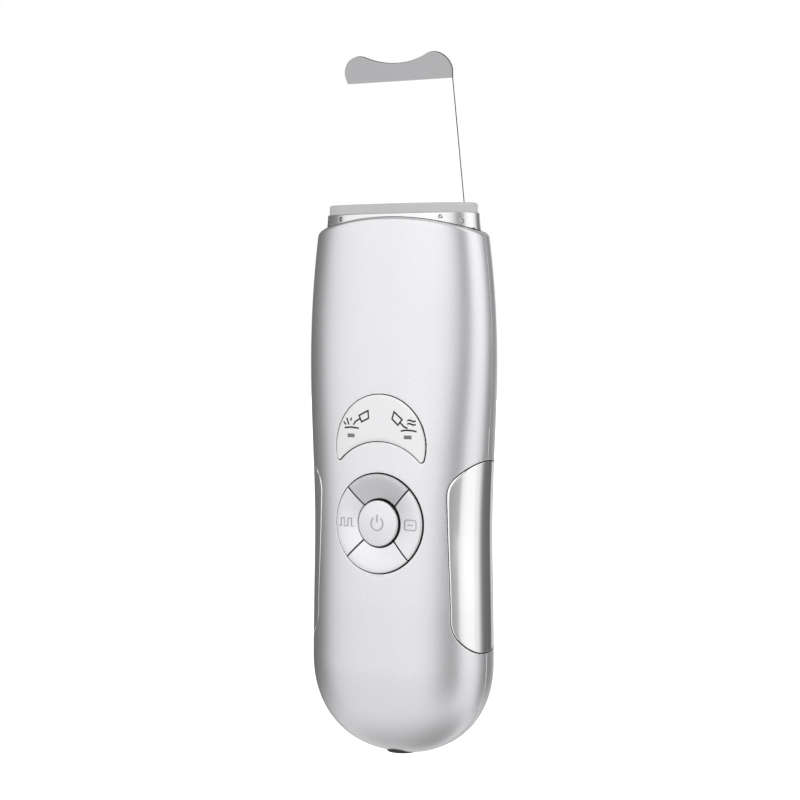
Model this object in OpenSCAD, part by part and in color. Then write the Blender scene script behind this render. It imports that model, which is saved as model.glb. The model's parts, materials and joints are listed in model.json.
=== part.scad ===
// Handheld ultrasonic skin scrubber: a flat vibrating blade on a battery handset.
// Millimetres. The origin is at the lowest point of the round end, +Z runs up to the
// blade, the controls face -Y and the back faces +Y.

/* [Housing] */
// Height of the housing at its sides
body_len = 136.7; // [135:0.1:138]
// Full width at the swell above the controls
swell_w = 52.7; // [52:0.1:54]
// Full width at the waist, level with the controls
waist_w = 49.3; // [48.8:0.1:50.5]
// Full width just above the round end
lower_w = 50.1; // [49.4:0.1:51]
// Full width at the shoulder
shoulder_w = 48.3; // [47.8:0.1:49.5]
// Full depth of the lower half
lower_d = 26.6; // [26:0.1:27.4]
// Full depth at the shoulder
shoulder_d = 20; // [19.8:0.1:21]
// Rise of the shoulder line from the sides to the middle
shoulder_arch = 3.4; // [3:0.1:4]
// Roundness of the lower end, where 2 is a half circle and more is squarer
end_power = 2.2; // [2:0.05:2.4]
// Roundness of the cross-section, where 2 is an ellipse and more is squarer
section_power = 2.8; // [2.5:0.1:3.2]
// Wall thickness of both shells
wall = 1.8; // [1.6:0.1:2]

/* [Neck and blade] */
// Full width of the neck collar at its top
neck_w = 44; // [43.6:0.1:44.4]
// Full depth of the neck collar
neck_d = 16; // [15.8:0.1:16.2]
// Height of the top of the neck collar
neck_top = 141.8; // [141.6:0.1:142.4]
// Height of the seal band on top of the collar
seal_h = 2.6; // [1.5:0.1:3]
// Thickness of the blade
blade_t = 0.6; // [0.4:0.05:0.8]
// Width of the blade where it leaves the seal
blade_root_w = 38.2; // [36:0.1:38.6]
// Width of the blade at the bend
blade_bend_w = 31.4; // [30:0.1:34]
// Height of the bend line
bend_z = 176.4; // [170:0.1:180]
// Forward bend of the blade's tip in degrees
tip_bend = 20; // [10:1:30]
// Height of the two tip lobes above the bend, along the tip
tip_len = 7.2; // [6.8:0.1:8.4]
// Depth of the hollow between the two lobes
tip_hollow = 2.4; // [1.8:0.1:3]

/* [Controls] */
// Height of the centre of the key disc
key_z = 61.6; // [60:0.1:63]
// Diameter of the key disc's opening
disc_d = 26.4; // [26:0.1:26.8]
// Diameter of the centre key
centre_d = 12; // [11:0.1:12.4]
// Gap round each key
key_gap = 0.25; // [0.2:0.05:0.3]
// Travel of each key
key_travel = 0.3; // [0.2:0.05:0.3]
// Outer diameter of the crescent window
lens_d = 26.9; // [26:0.1:27.2]
// Height of the crescent's centre
lens_z = 81.6; // [81:0.1:82]
// Radius of the crescent's lower arc
lens_arc_r = 16.3; // [16:0.1:16.6]

/* [Electrode plates] */
// Thickness of the side plates
plate_t = 0.6; // [0.5:0.05:0.7]
// Width of the side plates as seen from the side
plate_w = 19.6; // [18.4:0.1:20.2]
// Height of the lowest point of the side plates
plate_bottom = 28.4; // [28:0.1:30]
// Height of the highest point of the side plates
plate_top = 77.8; // [76:0.1:79]

/* [Electronics] */
// Width, depth and height of the battery pack
battery = [30, 7.8, 48]; // [6:0.1:50]
// Thickness of the circuit board
board_t = 1.6; // [1.2:0.1:1.6]
// Radius of the charging socket's bore
socket_r = 3; // [2.9:0.05:3.1]
// Radius of the charging socket's centre pin
socket_pin_r = 1; // [0.65:0.05:1.1]

/* [Hidden] */

$fn = 48;
part_gap = 0.05; // half of the gap between the two shells
fit = 0.1; // clearance between pieces that are fitted together
inf = 100; // longer than any cut needs to be

// Housing form
end_r = 25; // radius of the round end as seen from the front
waist_z = 58;
swell_z = 105;
taper_z = 40; // above this height the depth starts to shrink
taper_power = 1.25;
arch_z = 100; // the shoulder's arch fades out down to this height
shoulder_r = 1.2;
shoulder_tilt = 0.08; // the shoulder line falls this much per millimetre towards the back
section_points = 40;
back_flat_y = 12; // the back is flat here, so the handset can lie on it

// Key stack, as distances in front of the mid-plane
key_proud = 0.6; // the keys stand this far above the housing's face
cap_back_y = 9.8;
flange_front_y = 9.6;
centre_flange_y = 9.4;
key_back_y = 8.8;
flange_r = 14.2;
ledge_r = 8.4; // the segment keys are relieved inside this radius
centre_flange_r = 8;
key_ring_r = 9.6; // the outer switches stand on this circle
plunger_r = 1.4;
switch_size = 6;
switch_top_y = 7.6;
plunger_end_y = 6.2;

// Circuit board
board_front_y = 4.4;
board_back_y = board_front_y - board_t;
board_w = 33;
board_z = [22, 93];
board_screw_at = [[13.5, 90], [13.5, 26]];

// Crescent window
lens_t = 0.9;
lens_arc_z = lens_z - 15.1;
led_x = 8.5;
led_z = 84.1;
led_window = [2, 1.1];

// Electrode plates
plate_end_h = 9.5; // height of the rounded ends
plate_power = 2.6; // roundness of the ends, where 2 is an ellipse
plate_seat = plate_t + 0.05;
stud_r = 1;
stud_x = 18.9; // inner end of the studs
stud_y = 4.5;
stud_z = [42, 64];

// Housing screws, each given as distance from the middle and height
screw_at = [[15, 17], [19.6, 86], [18, 122.5]];
boss_r = 2.9;
screw_head_r = 1.9;
screw_head_h = 1.4;
screw_r = 0.9;
counterbore_r = 2.2;

// Transducer
ring_r = 7.5;
ring_t = 3;
electrode_t = 0.3;
horn_bottom = 115;
horn_shoulder = 126;
horn_top = 137.5;
horn_head = [26, 9];
back_mass_h = 10;
bolt_r = 2.5;
blade_y = -1.5;
blade_tab_w = 22;
blade_foot_z = 128;
lobe_r = 5;
tip_flare = 0.4; // each side of the tip stands out this far beyond the bend line's end
clamp_x = 8;
clamp_z = 132.5;
boot_r = 8.5;
boot_z = [117, 101]; // height of the lower face of each boot
boot_h = 4;
stack_z = horn_bottom - 2 * (ring_t + electrode_t); // where the back mass starts

// Charging socket
socket_face_z = 0;
socket_body_r = 4.2;
socket_floor_z = 11;
socket_back_z = 13.5;

// ---------- Form of the housing ----------

function mix(a, b, t) = a + (b - a) * t;

function ease(t) =
    let (u = min(1, max(0, t)))
    u * u * (3 - 2 * u);

// Half width of the housing at height z
function half_w(z) =
    z < waist_z ? mix(lower_w, waist_w, ease((z - end_r) / (waist_z - end_r))) / 2
    : z < swell_z ? mix(waist_w, swell_w, ease((z - waist_z) / (swell_z - waist_z))) / 2
    : mix(swell_w, shoulder_w, pow((z - swell_z) / (body_len - swell_z), 2)) / 2;

// Half depth of the housing at height z
function half_d(z) =
    let (t = max(0, (z - taper_z) / (body_len - taper_z)))
    mix(lower_d, shoulder_d, pow(t, taper_power)) / 2;

// Share of the full section that is left at height z inside the round end
function end_share(z) =
    z < end_r ? pow(1 - pow((end_r - z) / end_r, end_power), 1 / end_power) : 1;

// Distance of the housing's face from the mid-plane at x, z
function skin_y(x, z) =
    let (u = abs(x) / (half_w(z) * end_share(z)))
    half_d(z) * end_share(z) * pow(1 - pow(u, section_power), 1 / section_power);

// Rise of the shoulder line at x, y for a ring at height z
function rise(x, y, z) =
    ease((z - arch_z) / (body_len - arch_z))
    * (shoulder_arch * (1 - pow(x / half_w(z), 2)) - shoulder_tilt * y);

function signed_pow(v, p) = sign(v) * pow(abs(v), p);

// Points of a rounded oval with half axes a and b
function oval(a, b, power) = [
    for (i = [0:section_points - 1])
        let (u = 360 * i / section_points)
        [a * signed_pow(cos(u), 2 / power), b * signed_pow(sin(u), 2 / power)]
];

// Ring of the housing at height z, moved inwards by inset and shrunk by share
function housing_ring(z, inset, share) = [
    for (p = oval((half_w(z) - inset) * share, (half_d(z) - inset) * share, section_power))
        [p.x, p.y, z + rise(p.x, p.y, z)]
];

// Solid through a stack of rings, each with the same number of points
module loft(rings) {
    n = len(rings[0]);
    last = (len(rings) - 1) * n;
    sides = [
        for (j = [0:n:last - n], i = [0:n - 1])
            let (k = (i + 1) % n)
            [j + i, j + n + i, j + n + k, j + k]
    ];
    foot = [for (i = [0:n - 1]) i];
    head = [for (i = [n - 1:-1:0]) last + i];
    polyhedron([for (ring = rings) each ring], concat(sides, [foot, head]));
}

// The housing's outer form, moved inwards by inset on every side
module envelope(inset) {
    round = end_r - inset;
    bulge = 2 / end_power;
    corner = max(0.3, shoulder_r - inset);
    side_top = body_len - inset - corner;
    side_step = (side_top - end_r) / 9;
    loft([
        housing_ring(inset, inset, pow(sin(7), bulge)),
        for (u = [14:15.2:89])
            housing_ring(end_r - round * pow(cos(u), bulge), inset, pow(sin(u), bulge)),
        for (z = [end_r:side_step:side_top + 0.01]) housing_ring(z, inset, 1),
        for (v = [30, 58, 80]) housing_ring(side_top + corner * sin(v), inset + corner * (1 - cos(v)), 1),
        housing_ring(body_len - inset, inset + corner, 0.3)
    ]);
}

// Block whose front follows the housing's face behind the controls, raised by proud
module face_block(proud) {
    reach = 15.5;
    back = 6;
    loft([
        for (z = [44:4.5:98]) [
            for (x = [-reach:reach / 6:reach + 0.01]) [x, -skin_y(x, z) - proud, z],
            [reach, -back, z],
            [-reach, -back, z]
        ]
    ]);
}

// ---------- Building blocks ----------

// Round bar along +Y from y0 to y1
module bar_y(x, z, y0, y1, r) {
    translate([x, y0, z]) rotate([-90, 0, 0]) cylinder(h = y1 - y0, r = r);
}

// Round bar along +Z from z0 to z1
module bar_z(z0, z1, r) {
    translate([0, 0, z0]) cylinder(h = z1 - z0, r = r);
}

// Tube along +Z from z0 to z1
module tube_z(z0, z1, outer, inner) {
    difference() {
        bar_z(z0, z1, outer);
        bar_z(z0 - 1, z1 + 1, inner);
    }
}

// Box given by its middle in x and z, and its two faces in y
module box_y(x, z, w, h, y0, y1) {
    translate([x - w / 2, y0, z - h / 2]) cube([w, y1 - y0, h]);
}

// Extrudes an outline drawn in x and z from y0 towards -Y as far as y1
module forwards(y0, y1) {
    translate([0, -y0, 0]) rotate([90, 0, 0]) linear_extrude(y1 - y0) children();
}

// Repeats a shape on both sides of the middle
module both_sides() {
    children();
    mirror([1, 0, 0]) children();
}

function bezier(p, t) =
    let (s = 1 - t)
    p[0] * s * s * s + p[1] * 3 * s * s * t + p[2] * 3 * s * t * t + p[3] * t * t * t;

function bezier_slope(p, t) =
    let (s = 1 - t)
    (p[1] - p[0]) * s * s + (p[2] - p[1]) * 2 * s * t + (p[3] - p[2]) * t * t;

function unit(v) = v / norm(v);

// Insulated wire along a curve from p[0] to p[3], pulled towards p[1] and p[2]
module wire(p, r = 0.55) {
    sides = 8;
    steps = 12;
    loft([
        for (k = [0:steps])
            let (
                t = k / steps,
                along = unit(bezier_slope(p, t)),
                u = unit(cross([0.3, 1, 0.2], along)),
                v = cross(along, u)
            )
            [for (i = [0:sides - 1]) bezier(p, t) + r * (cos(45 * i) * u + sin(45 * i) * v)]
    ]);
}

// ---------- Outlines ----------

// Outline of a side plate, drawn in y and z
module plate_outline(grow) {
    low = plate_bottom + plate_end_h;
    high = plate_top - plate_end_h;
    half = plate_w / 2 + grow;
    for (z = [low, high]) translate([0, z]) polygon(oval(half, plate_end_h + grow, plate_power));
    translate([-half, low]) square([2 * half, high - low]);
}

// Outline of the crescent window, drawn in x and z
module lens_outline(grow) {
    difference() {
        translate([0, lens_z]) circle(r = lens_d / 2 + grow);
        translate([0, lens_arc_z]) circle(r = lens_arc_r - grow);
    }
}

// Outline of one quarter of the key ring, drawn round the disc's centre
module segment_outline(inner, outer, turn) {
    rotate(turn) difference() {
        intersection() {
            circle(r = outer);
            rotate(45) translate([key_gap / 2, key_gap / 2]) square(inf);
        }
        circle(r = inner);
    }
}

// ---------- Housings ----------

// Prism through the side of the housing with the outline of the side plate
module plate_prism(grow) {
    translate([15, 0, 0]) rotate([90, 0, 90]) linear_extrude(30) plate_outline(grow);
}

// Everything in front of the plane at y
module in_front_of(y) {
    translate([-inf / 2, -inf / 2, -1]) cube([inf, inf / 2 + y, 2 * inf]);
}

// Wall of the whole housing, with the recesses for the side plates
module housing_wall() {
    difference() {
        translate([-inf / 2, -inf / 2, -1]) cube([inf, inf, body_len + 10]);
        intersection() {
            envelope(wall);
            in_front_of(back_flat_y - wall);
        }
        both_sides() difference() {
            plate_prism(fit);
            envelope(plate_seat);
        }
    }
}

// Cradle rib across the housing that holds a transducer boot
module cradle(z) {
    difference() {
        translate([-inf / 2, -inf / 2, z]) cube([inf, inf, 1.4]);
        bar_z(z - 1, z + 3, boot_r + part_gap);
        both_sides() translate([9, -inf / 2, z - 1]) cube([inf, inf, 3]);
    }
}

// Half of space in front of (side = -1) or behind (side = 1) the parting plane
module half_space(side) {
    translate([-inf / 2, side > 0 ? part_gap : -inf - part_gap, -inf / 2]) cube([inf, inf, 3 * inf]);
}

// Openings that both shells share
module shared_openings() {
    bar_z(-1, socket_floor_z, socket_body_r + fit);
    loft(collar_rings(fit, neck_top - 11.2, neck_top + 2));
}

module front_housing() {
    color([0.86, 0.86, 0.88]) difference() {
        intersection() {
            envelope(0);
            half_space(-1);
            union() {
                housing_wall();
                for (at = screw_at) both_sides() bar_y(at.x, at.y, -20, 0, boss_r);
                for (at = board_screw_at) both_sides() bar_y(at.x, at.y, -20, -board_front_y, 2.2);
                bar_y(0, key_z, -20, -cap_back_y + fit, disc_d / 2 + 1.8);
                for (z = boot_z) cradle(z + 1.3);
            }
        }
        shared_openings();
        bar_y(0, key_z, -20, -key_back_y, disc_d / 2);
        for (at = screw_at) both_sides() bar_y(at.x, at.y, -6, 1, screw_r + 0.02);
        for (at = board_screw_at) both_sides() bar_y(at.x, at.y, -8.5, -1, 0.82);
        difference() {
            forwards(0, 20) lens_outline(fit);
            face_block(-lens_t - fit);
        }
        both_sides() box_y(led_x, led_z, led_window.x + fit, led_window.y + fit, -15, -8);
    }
}

// Depth of the seat under the head of a housing screw
function screw_seat(at) = skin_y(at.x + counterbore_r, at.y) - 2.8;

module rear_housing() {
    pad_front = battery_back + 0.05;
    color([0.84, 0.84, 0.86]) difference() {
        intersection() {
            envelope(0);
            half_space(1);
            union() {
                housing_wall();
                for (at = screw_at) both_sides() bar_y(at.x, at.y, 0, 20, boss_r);
                both_sides() box_y(8, battery_z, 1.2, 34, battery_back + pad_t, 20);
                for (z = boot_z) cradle(z + 1.3);
            }
            in_front_of(back_flat_y);
        }
        shared_openings();
        for (at = screw_at) both_sides() {
            bar_y(at.x, at.y, -1, 20, screw_r + 0.2);
            bar_y(at.x, at.y, screw_seat(at), 20, counterbore_r);
        }
        both_sides() for (z = stud_z) translate([12, stud_y, z]) rotate([0, 90, 0]) {
            cylinder(h = 20, r = stud_r + fit);
        }
    }
}

// ---------- Neck and blade ----------

collar_power = 2.5;
collar_wall = 1.6;
seal_inset = 0.45; // the seal stands back from the collar's rim

// Rings of the neck collar's outside, grown by grow, from z0 to z1
function collar_rings(grow, z0, z1) = [
    for (z = [z0, mix(z0, neck_top - 5, 0.5), neck_top - 5, neck_top - 1.5, z1])
        let (flare = 0.5 * ease((neck_top - z) / 7))
        [
            for (p = oval(neck_w / 2 + flare + grow, neck_d / 2 + flare / 2 + grow, collar_power))
                [p.x, p.y, z]
        ]
];

module collar_bore() {
    linear_extrude(neck_top + 5) {
        polygon(oval(neck_w / 2 - collar_wall, neck_d / 2 - collar_wall, collar_power));
    }
}

module neck_collar() {
    // small round studs in grooves: x, y, turn and height below the top
    studs = [[15, 6.6, 15.3, -1.2], [19.9, 4.4, 37.7, -2.3]];
    color([0.93, 0.93, 0.94]) difference() {
        loft(collar_rings(0, neck_top - 11, neck_top));
        collar_bore();
        both_sides() for (s = studs, face = [0, 1]) mirror([0, face, 0]) {
            translate([s.x, -s.y, neck_top + s[3]]) rotate([90, 0, s.z]) difference() {
                cylinder(h = 0.9, r = 0.6, center = true);
                cylinder(h = 2, r = 0.3, center = true);
            }
        }
    }
}

module blade_seal() {
    plug = collar_wall + fit;
    color([0.74, 0.74, 0.76]) difference() {
        union() {
            translate([0, 0, neck_top]) linear_extrude(seal_h) {
                polygon(oval(neck_w / 2 - seal_inset, neck_d / 2 - seal_inset, collar_power));
            }
            translate([0, 0, neck_top - 2.5]) linear_extrude(2.6) {
                polygon(oval(neck_w / 2 - plug, neck_d / 2 - plug, collar_power));
            }
        }
        box_y(0, neck_top, blade_root_w + 2 * fit, 20, blade_y - blade_t / 2 - part_gap,
            blade_y + blade_t / 2 + part_gap);
    }
}

// Outline of the bent tip, drawn upwards from the bend line: two lobes that run smoothly
// into the round hollow between them
module tip_outline() {
    half = blade_bend_w / 2;
    lobe_x = half + tip_flare - lobe_r;
    lobe_v = tip_len - lobe_r;
    hollow_r = (lobe_x * lobe_x / tip_hollow + tip_hollow) / 2 - lobe_r;
    share = lobe_r / (hollow_r + lobe_r);
    // where a lobe's arc meets the hollow's arc
    meet = [lobe_x * (1 - share), lobe_v + share * (hollow_r + lobe_r - tip_hollow)];
    difference() {
        translate([-meet.x, 0]) square([2 * meet.x, meet.y]);
        translate([0, tip_len - tip_hollow + hollow_r]) circle(r = hollow_r, $fn = 96);
    }
    both_sides() {
        polygon([[meet.x - 1, 0], [half, 0], [lobe_x + lobe_r, lobe_v], [lobe_x, lobe_v], meet]);
        intersection() {
            translate([lobe_x, lobe_v]) circle(r = lobe_r);
            square(inf);
        }
    }
}

// Outline of the flat part of the blade, with the narrow tab that is clamped in the horn
module blade_outline() {
    wide_z = horn_top + 0.5;
    half = [blade_tab_w, blade_root_w, blade_bend_w] / 2;
    right = [
        [half[0], blade_foot_z], [half[0], wide_z], [half[1], wide_z],
        [half[1], neck_top + seal_h], [half[2], bend_z], [half[2], bend_z + blade_t]
    ];
    left = [for (i = [len(right) - 1:-1:0]) [-right[i].x, right[i].y]];
    polygon(concat(right, left));
}

// Side view of the bent sheet, drawn in y and z with the bend's middle at [0, bend_z]
module blade_side() {
    half_t = blade_t / 2;
    miter = half_t * tan(tip_bend / 2);
    along = tip_len * 2 * [-sin(tip_bend), cos(tip_bend)];
    across = half_t * [cos(tip_bend), sin(tip_bend)];
    bend = [0, bend_z];
    polygon([
        [half_t, blade_foot_z - 1], [half_t, bend_z + miter], bend + along + across,
        bend + along - across, [-half_t, bend_z - miter], [-half_t, blade_foot_z - 1]
    ]);
}

module blade() {
    reach = 4;
    color([0.95, 0.95, 0.96]) translate([0, blade_y, 0]) difference() {
        intersection() {
            translate([-inf / 2, 0, 0]) rotate([90, 0, 90]) linear_extrude(inf) blade_side();
            union() {
                forwards(-reach, reach) blade_outline();
                translate([0, 0, bend_z]) rotate([tip_bend, 0, 0]) forwards(-reach, reach) tip_outline();
            }
        }
        both_sides() bar_y(clamp_x, clamp_z, -2, 2, 1.1);
    }
}

module blade_screws() {
    color([0.75, 0.75, 0.77]) both_sides() difference() {
        union() {
            bar_y(clamp_x, clamp_z, -horn_head.y / 2 - 1.2, -horn_head.y / 2, 1.8);
            bar_y(clamp_x, clamp_z, -horn_head.y / 2 - 0.1, 2.8, 0.95);
        }
        box_y(clamp_x, clamp_z, 2.6, 0.5, -horn_head.y / 2 - 2, -horn_head.y / 2 - 0.7);
    }
}

// ---------- Transducer ----------

module horn() {
    slot = blade_t / 2 + 0.02;
    color([0.7, 0.71, 0.73]) difference() {
        union() {
            bar_z(horn_bottom, horn_shoulder + 0.1, ring_r);
            translate([-horn_head.x / 2, -horn_head.y / 2, horn_shoulder]) {
                cube([horn_head.x, horn_head.y, horn_top - horn_shoulder]);
            }
        }
        bar_z(horn_bottom - 1, horn_bottom + 9, bolt_r + 0.02);
        box_y(0, 133, blade_tab_w + 0.2, 10.2, blade_y - slot, blade_y + slot);
        box_y(0, horn_top + 0.5, blade_tab_w + 0.2, 3, blade_y - slot, blade_y + slot);
        both_sides() bar_y(clamp_x, clamp_z, -horn_head.y, 3, 1);
    }
}

module piezo_ring(z) {
    color([0.86, 0.83, 0.74]) tube_z(z, z + ring_t, ring_r, 3.1);
}

module piezo_ring_upper() {
    piezo_ring(horn_bottom - ring_t);
}

module piezo_ring_lower() {
    piezo_ring(horn_bottom - 2 * ring_t - electrode_t);
}

// Thin contact ring with a solder tag that points to the right or the left
module electrode_ring(z, side) {
    color([0.80, 0.62, 0.30]) difference() {
        union() {
            bar_z(z, z + electrode_t, ring_r);
            translate([side > 0 ? 5 : -11, -1.5, z]) cube([6, 3, electrode_t]);
        }
        bar_z(z - 1, z + 1, 3.1);
    }
}

module electrode_ring_upper() {
    electrode_ring(horn_bottom - ring_t - electrode_t, 1);
}

module electrode_ring_lower() {
    electrode_ring(stack_z, -1);
}

module insulator_tube() {
    color([0.9, 0.9, 0.86]) tube_z(stack_z, horn_bottom, 3.05, bolt_r + 0.05);
}

module back_mass() {
    color([0.55, 0.56, 0.58]) tube_z(stack_z - back_mass_h, stack_z, ring_r, bolt_r + 0.05);
}

module transducer_bolt() {
    head_z = stack_z - back_mass_h;
    color([0.42, 0.42, 0.44]) difference() {
        union() {
            bar_z(head_z - 3.4, head_z, 4.2);
            bar_z(head_z - 0.1, horn_bottom + 8.5, bolt_r);
        }
        translate([0, 0, head_z - 4]) cylinder(h = 2.6, r = 2.1, $fn = 6);
    }
}

module transducer_boots() {
    color([0.35, 0.35, 0.37]) for (z = boot_z) tube_z(z, z + boot_h, boot_r, ring_r + 0.02);
}

// ---------- Keys ----------

// Where each key's switch stands, measured from the disc's centre
function switch_at(turn) = key_ring_r * [cos(turn), sin(turn)];

// One quarter of the key ring: cap, and a flange that catches behind the opening
module segment_key(turn) {
    cap_r = disc_d / 2 - key_gap;
    inner = centre_d / 2 + key_gap;
    // the sector outline starts at 45 degrees, so its middle is turned to the key's side
    skew = turn - 90;
    color([0.82, 0.82, 0.84]) {
        intersection() {
            face_block(key_proud);
            translate([0, 0, key_z]) forwards(cap_back_y, 20) segment_outline(inner, cap_r, skew);
        }
        translate([0, 0, key_z]) {
            forwards(key_back_y, cap_back_y + 0.05) segment_outline(ledge_r, cap_r, skew);
            forwards(key_back_y, flange_front_y) segment_outline(ledge_r, flange_r, skew);
        }
    }
}

module on_off_key() {
    color([0.86, 0.86, 0.88]) {
        intersection() {
            face_block(key_proud);
            bar_y(0, key_z, -20, -key_back_y, centre_d / 2);
        }
        bar_y(0, key_z, -centre_flange_y, -key_back_y, centre_flange_r);
    }
}

module pulse_key() {
    segment_key(180);
}

module pad_key() {
    segment_key(0);
}

module upper_key() {
    segment_key(90);
}

module lower_key() {
    segment_key(270);
}

// Plunger of the switch that stands at the given place from the disc's centre
module plunger(at) {
    color([0.15, 0.15, 0.16]) bar_y(at.x, key_z + at.y, -key_back_y + part_gap, -plunger_end_y, plunger_r);
}

module on_off_plunger() {
    plunger([0, 0]);
}

module pulse_plunger() {
    plunger(switch_at(180));
}

module pad_plunger() {
    plunger(switch_at(0));
}

module upper_plunger() {
    plunger(switch_at(90));
}

module lower_plunger() {
    plunger(switch_at(270));
}

module key_switches() {
    places = [[0, 0], for (turn = [0:90:270]) switch_at(turn)];
    color([0.3, 0.3, 0.32]) for (at = places) difference() {
        box_y(at.x, key_z + at.y, switch_size, switch_size, -switch_top_y, -board_front_y);
        bar_y(at.x, key_z + at.y, -10, fit + key_travel - plunger_end_y, plunger_r + fit);
    }
}

// ---------- Indicator ----------

module indicator_lens() {
    color([0.9, 0.9, 0.92]) intersection() {
        forwards(8, 20) lens_outline(0);
        difference() {
            face_block(0.1);
            face_block(-lens_t);
        }
    }
}

module light_pipes() {
    color([0.92, 0.92, 0.92, 0.7]) both_sides() {
        box_y(led_x, led_z, led_window.x, led_window.y, -10.55, -5.35);
    }
}

module mode_leds() {
    color([0.95, 0.95, 0.88]) both_sides() box_y(led_x, led_z, 2, 1.25, -5.25, -board_front_y);
}

// ---------- Electrode plates ----------

module electrode_plate() {
    color([0.85, 0.86, 0.88]) {
        intersection() {
            plate_prism(0);
            difference() {
                envelope(0);
                envelope(plate_t);
            }
        }
        for (z = stud_z) translate([stud_x, stud_y, z]) rotate([0, 90, 0]) {
            cylinder(h = half_w(z) - stud_x - 0.7, r = stud_r);
        }
    }
}

module right_electrode_plate() {
    electrode_plate();
}

module left_electrode_plate() {
    mirror([1, 0, 0]) electrode_plate();
}

module plate_nuts() {
    color([0.72, 0.72, 0.74]) both_sides() for (z = stud_z) {
        translate([stud_x + 0.3, stud_y, z]) rotate([0, 90, 0]) difference() {
            cylinder(h = 1.2, r = 2.2, $fn = 6);
            translate([0, 0, -1]) cylinder(h = 4, r = stud_r + 0.02);
        }
    }
}

// ---------- Power and electronics ----------

battery_front = -1.2;
battery_back = battery_front + battery.y;
battery_z = 48.5;
pad_t = 2;

module battery_pack() {
    corner = 1.5;
    color([0.55, 0.65, 0.72]) translate([0, battery_back, battery_z]) rotate([90, 0, 0]) {
        linear_extrude(battery.y) union() {
            square([battery.x - 2 * corner, battery.z], center = true);
            square([battery.x, battery.z - 2 * corner], center = true);
            for (sx = [-1, 1], sz = [-1, 1]) {
                translate([sx * (battery.x / 2 - corner), sz * (battery.z / 2 - corner)]) circle(r = corner);
            }
        }
    }
}

module battery_pad() {
    color([0.2, 0.2, 0.21]) box_y(0, battery_z, 24, 34, battery_back, battery_back + pad_t);
}

module main_board() {
    mid_z = (board_z[0] + board_z[1]) / 2;
    color([0.16, 0.42, 0.25]) difference() {
        box_y(0, mid_z, board_w, board_z[1] - board_z[0], -board_front_y, -board_back_y);
        for (at = board_screw_at) both_sides() bar_y(at.x, at.y, -10, 0, 0.95);
    }
}

module control_chip() {
    color([0.12, 0.12, 0.13]) box_y(0, 60, 8, 10, -board_back_y, -1.4);
}

module power_transistors() {
    color([0.14, 0.14, 0.15]) both_sides() box_y(12.5, 82.5, 6.5, 6, -board_back_y, -0.4);
}

module transformer_core() {
    color([0.24, 0.23, 0.23]) difference() {
        box_y(0, 85, 13, 11, -board_back_y, 6.2);
        box_y(-4, 85, 2.6, 7, -10, 10);
        box_y(4, 85, 2.6, 7, -10, 10);
    }
}

module transformer_coil() {
    color([0.72, 0.42, 0.2]) difference() {
        box_y(0, 85, 10.4, 6.8, -board_back_y + 0.4, 7);
        box_y(0, 85, 5.6, 8, -10, 10);
    }
}

module smoothing_capacitor() {
    color([0.25, 0.28, 0.38]) bar_y(-11, 75.8, -board_back_y, 4.2, 2.6);
}

module wire_connectors() {
    color([0.93, 0.92, 0.88]) for (x = [-3, 4.5, 11.5]) {
        box_y(x, 75.6, 5.4, 4, -board_back_y, 1.6);
    }
}

// ---------- Charging socket ----------

module dc_socket() {
    color([0.11, 0.11, 0.12]) difference() {
        union() {
            bar_z(socket_face_z, socket_back_z, socket_body_r);
            bar_z(5.6, 7.2, 5.2);
        }
        bar_z(0, socket_floor_z, socket_r);
        bar_z(socket_floor_z - 0.5, 20, socket_pin_r + 0.22);
        translate([2, -1.2, 3]) cube([1.9, 2.4, 12]);
    }
}

module dc_contact_pin() {
    color([0.8, 0.8, 0.82]) union() {
        bar_z(socket_face_z + 2.6, socket_floor_z, socket_pin_r);
        bar_z(socket_floor_z, socket_back_z + 1.5, socket_pin_r + 0.2);
    }
}

module dc_contact_spring() {
    color([0.83, 0.7, 0.4]) translate([3.25, -1, 3.2]) cube([0.3, 2, 12.5]);
}

// ---------- Fasteners ----------

module housing_screws() {
    color([0.7, 0.7, 0.72]) for (at = screw_at) both_sides() {
        seat = screw_seat(at);
        difference() {
            union() {
                bar_y(at.x, at.y, seat, seat + screw_head_h, screw_head_r);
                bar_y(at.x, at.y, -5.5, seat + 0.1, screw_r);
            }
            box_y(at.x, at.y, 2.4, 0.5, seat + 0.7, seat + 3);
            box_y(at.x, at.y, 0.5, 2.4, seat + 0.7, seat + 3);
        }
    }
}

module screw_plugs() {
    color([0.8, 0.8, 0.82]) for (at = screw_at) both_sides() {
        seat = screw_seat(at) + screw_head_h + 0.1;
        bar_y(at.x, at.y, seat, seat + 1.1, counterbore_r - part_gap);
    }
}

module board_screws() {
    color([0.72, 0.72, 0.74]) for (at = board_screw_at) both_sides() difference() {
        union() {
            bar_y(at.x, at.y, -board_back_y, -board_back_y + 1, 1.5);
            bar_y(at.x, at.y, -8, -board_back_y + 0.1, 0.8);
        }
        box_y(at.x, at.y, 2, 0.4, -board_back_y + 0.5, 1);
    }
}

// ---------- Wires ----------

module battery_wires() {
    color([0.75, 0.15, 0.13]) for (x = [3.6, 5.4]) {
        wire([[x - 2, 3, battery_z + battery.z / 2 + 0.1], [x - 2, 3.5, 75.5], [x, 6, 76.5], [x, 1.7, 75.8]]);
    }
}

module transducer_wires() {
    upper = horn_bottom - ring_t - electrode_t - 0.1;
    color([0.85, 0.82, 0.75]) {
        wire([[11.5, 1.85, 75.6], [11.5, 7, 78], [9.8, 0, 98], [9.8, 0, upper]]);
        wire([[-3, 2, 75.6], [-9, 9, 74], [-10.5, 2, 92], [-9.8, 0, stack_z - 0.1]]);
    }
}

module plate_wires() {
    color([0.2, 0.3, 0.6]) both_sides() {
        wire([[17, 4.4, 44.8], [17, 2, 55], [17, 1, 66], [15.6, -2, 71]]);
    }
}

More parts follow.
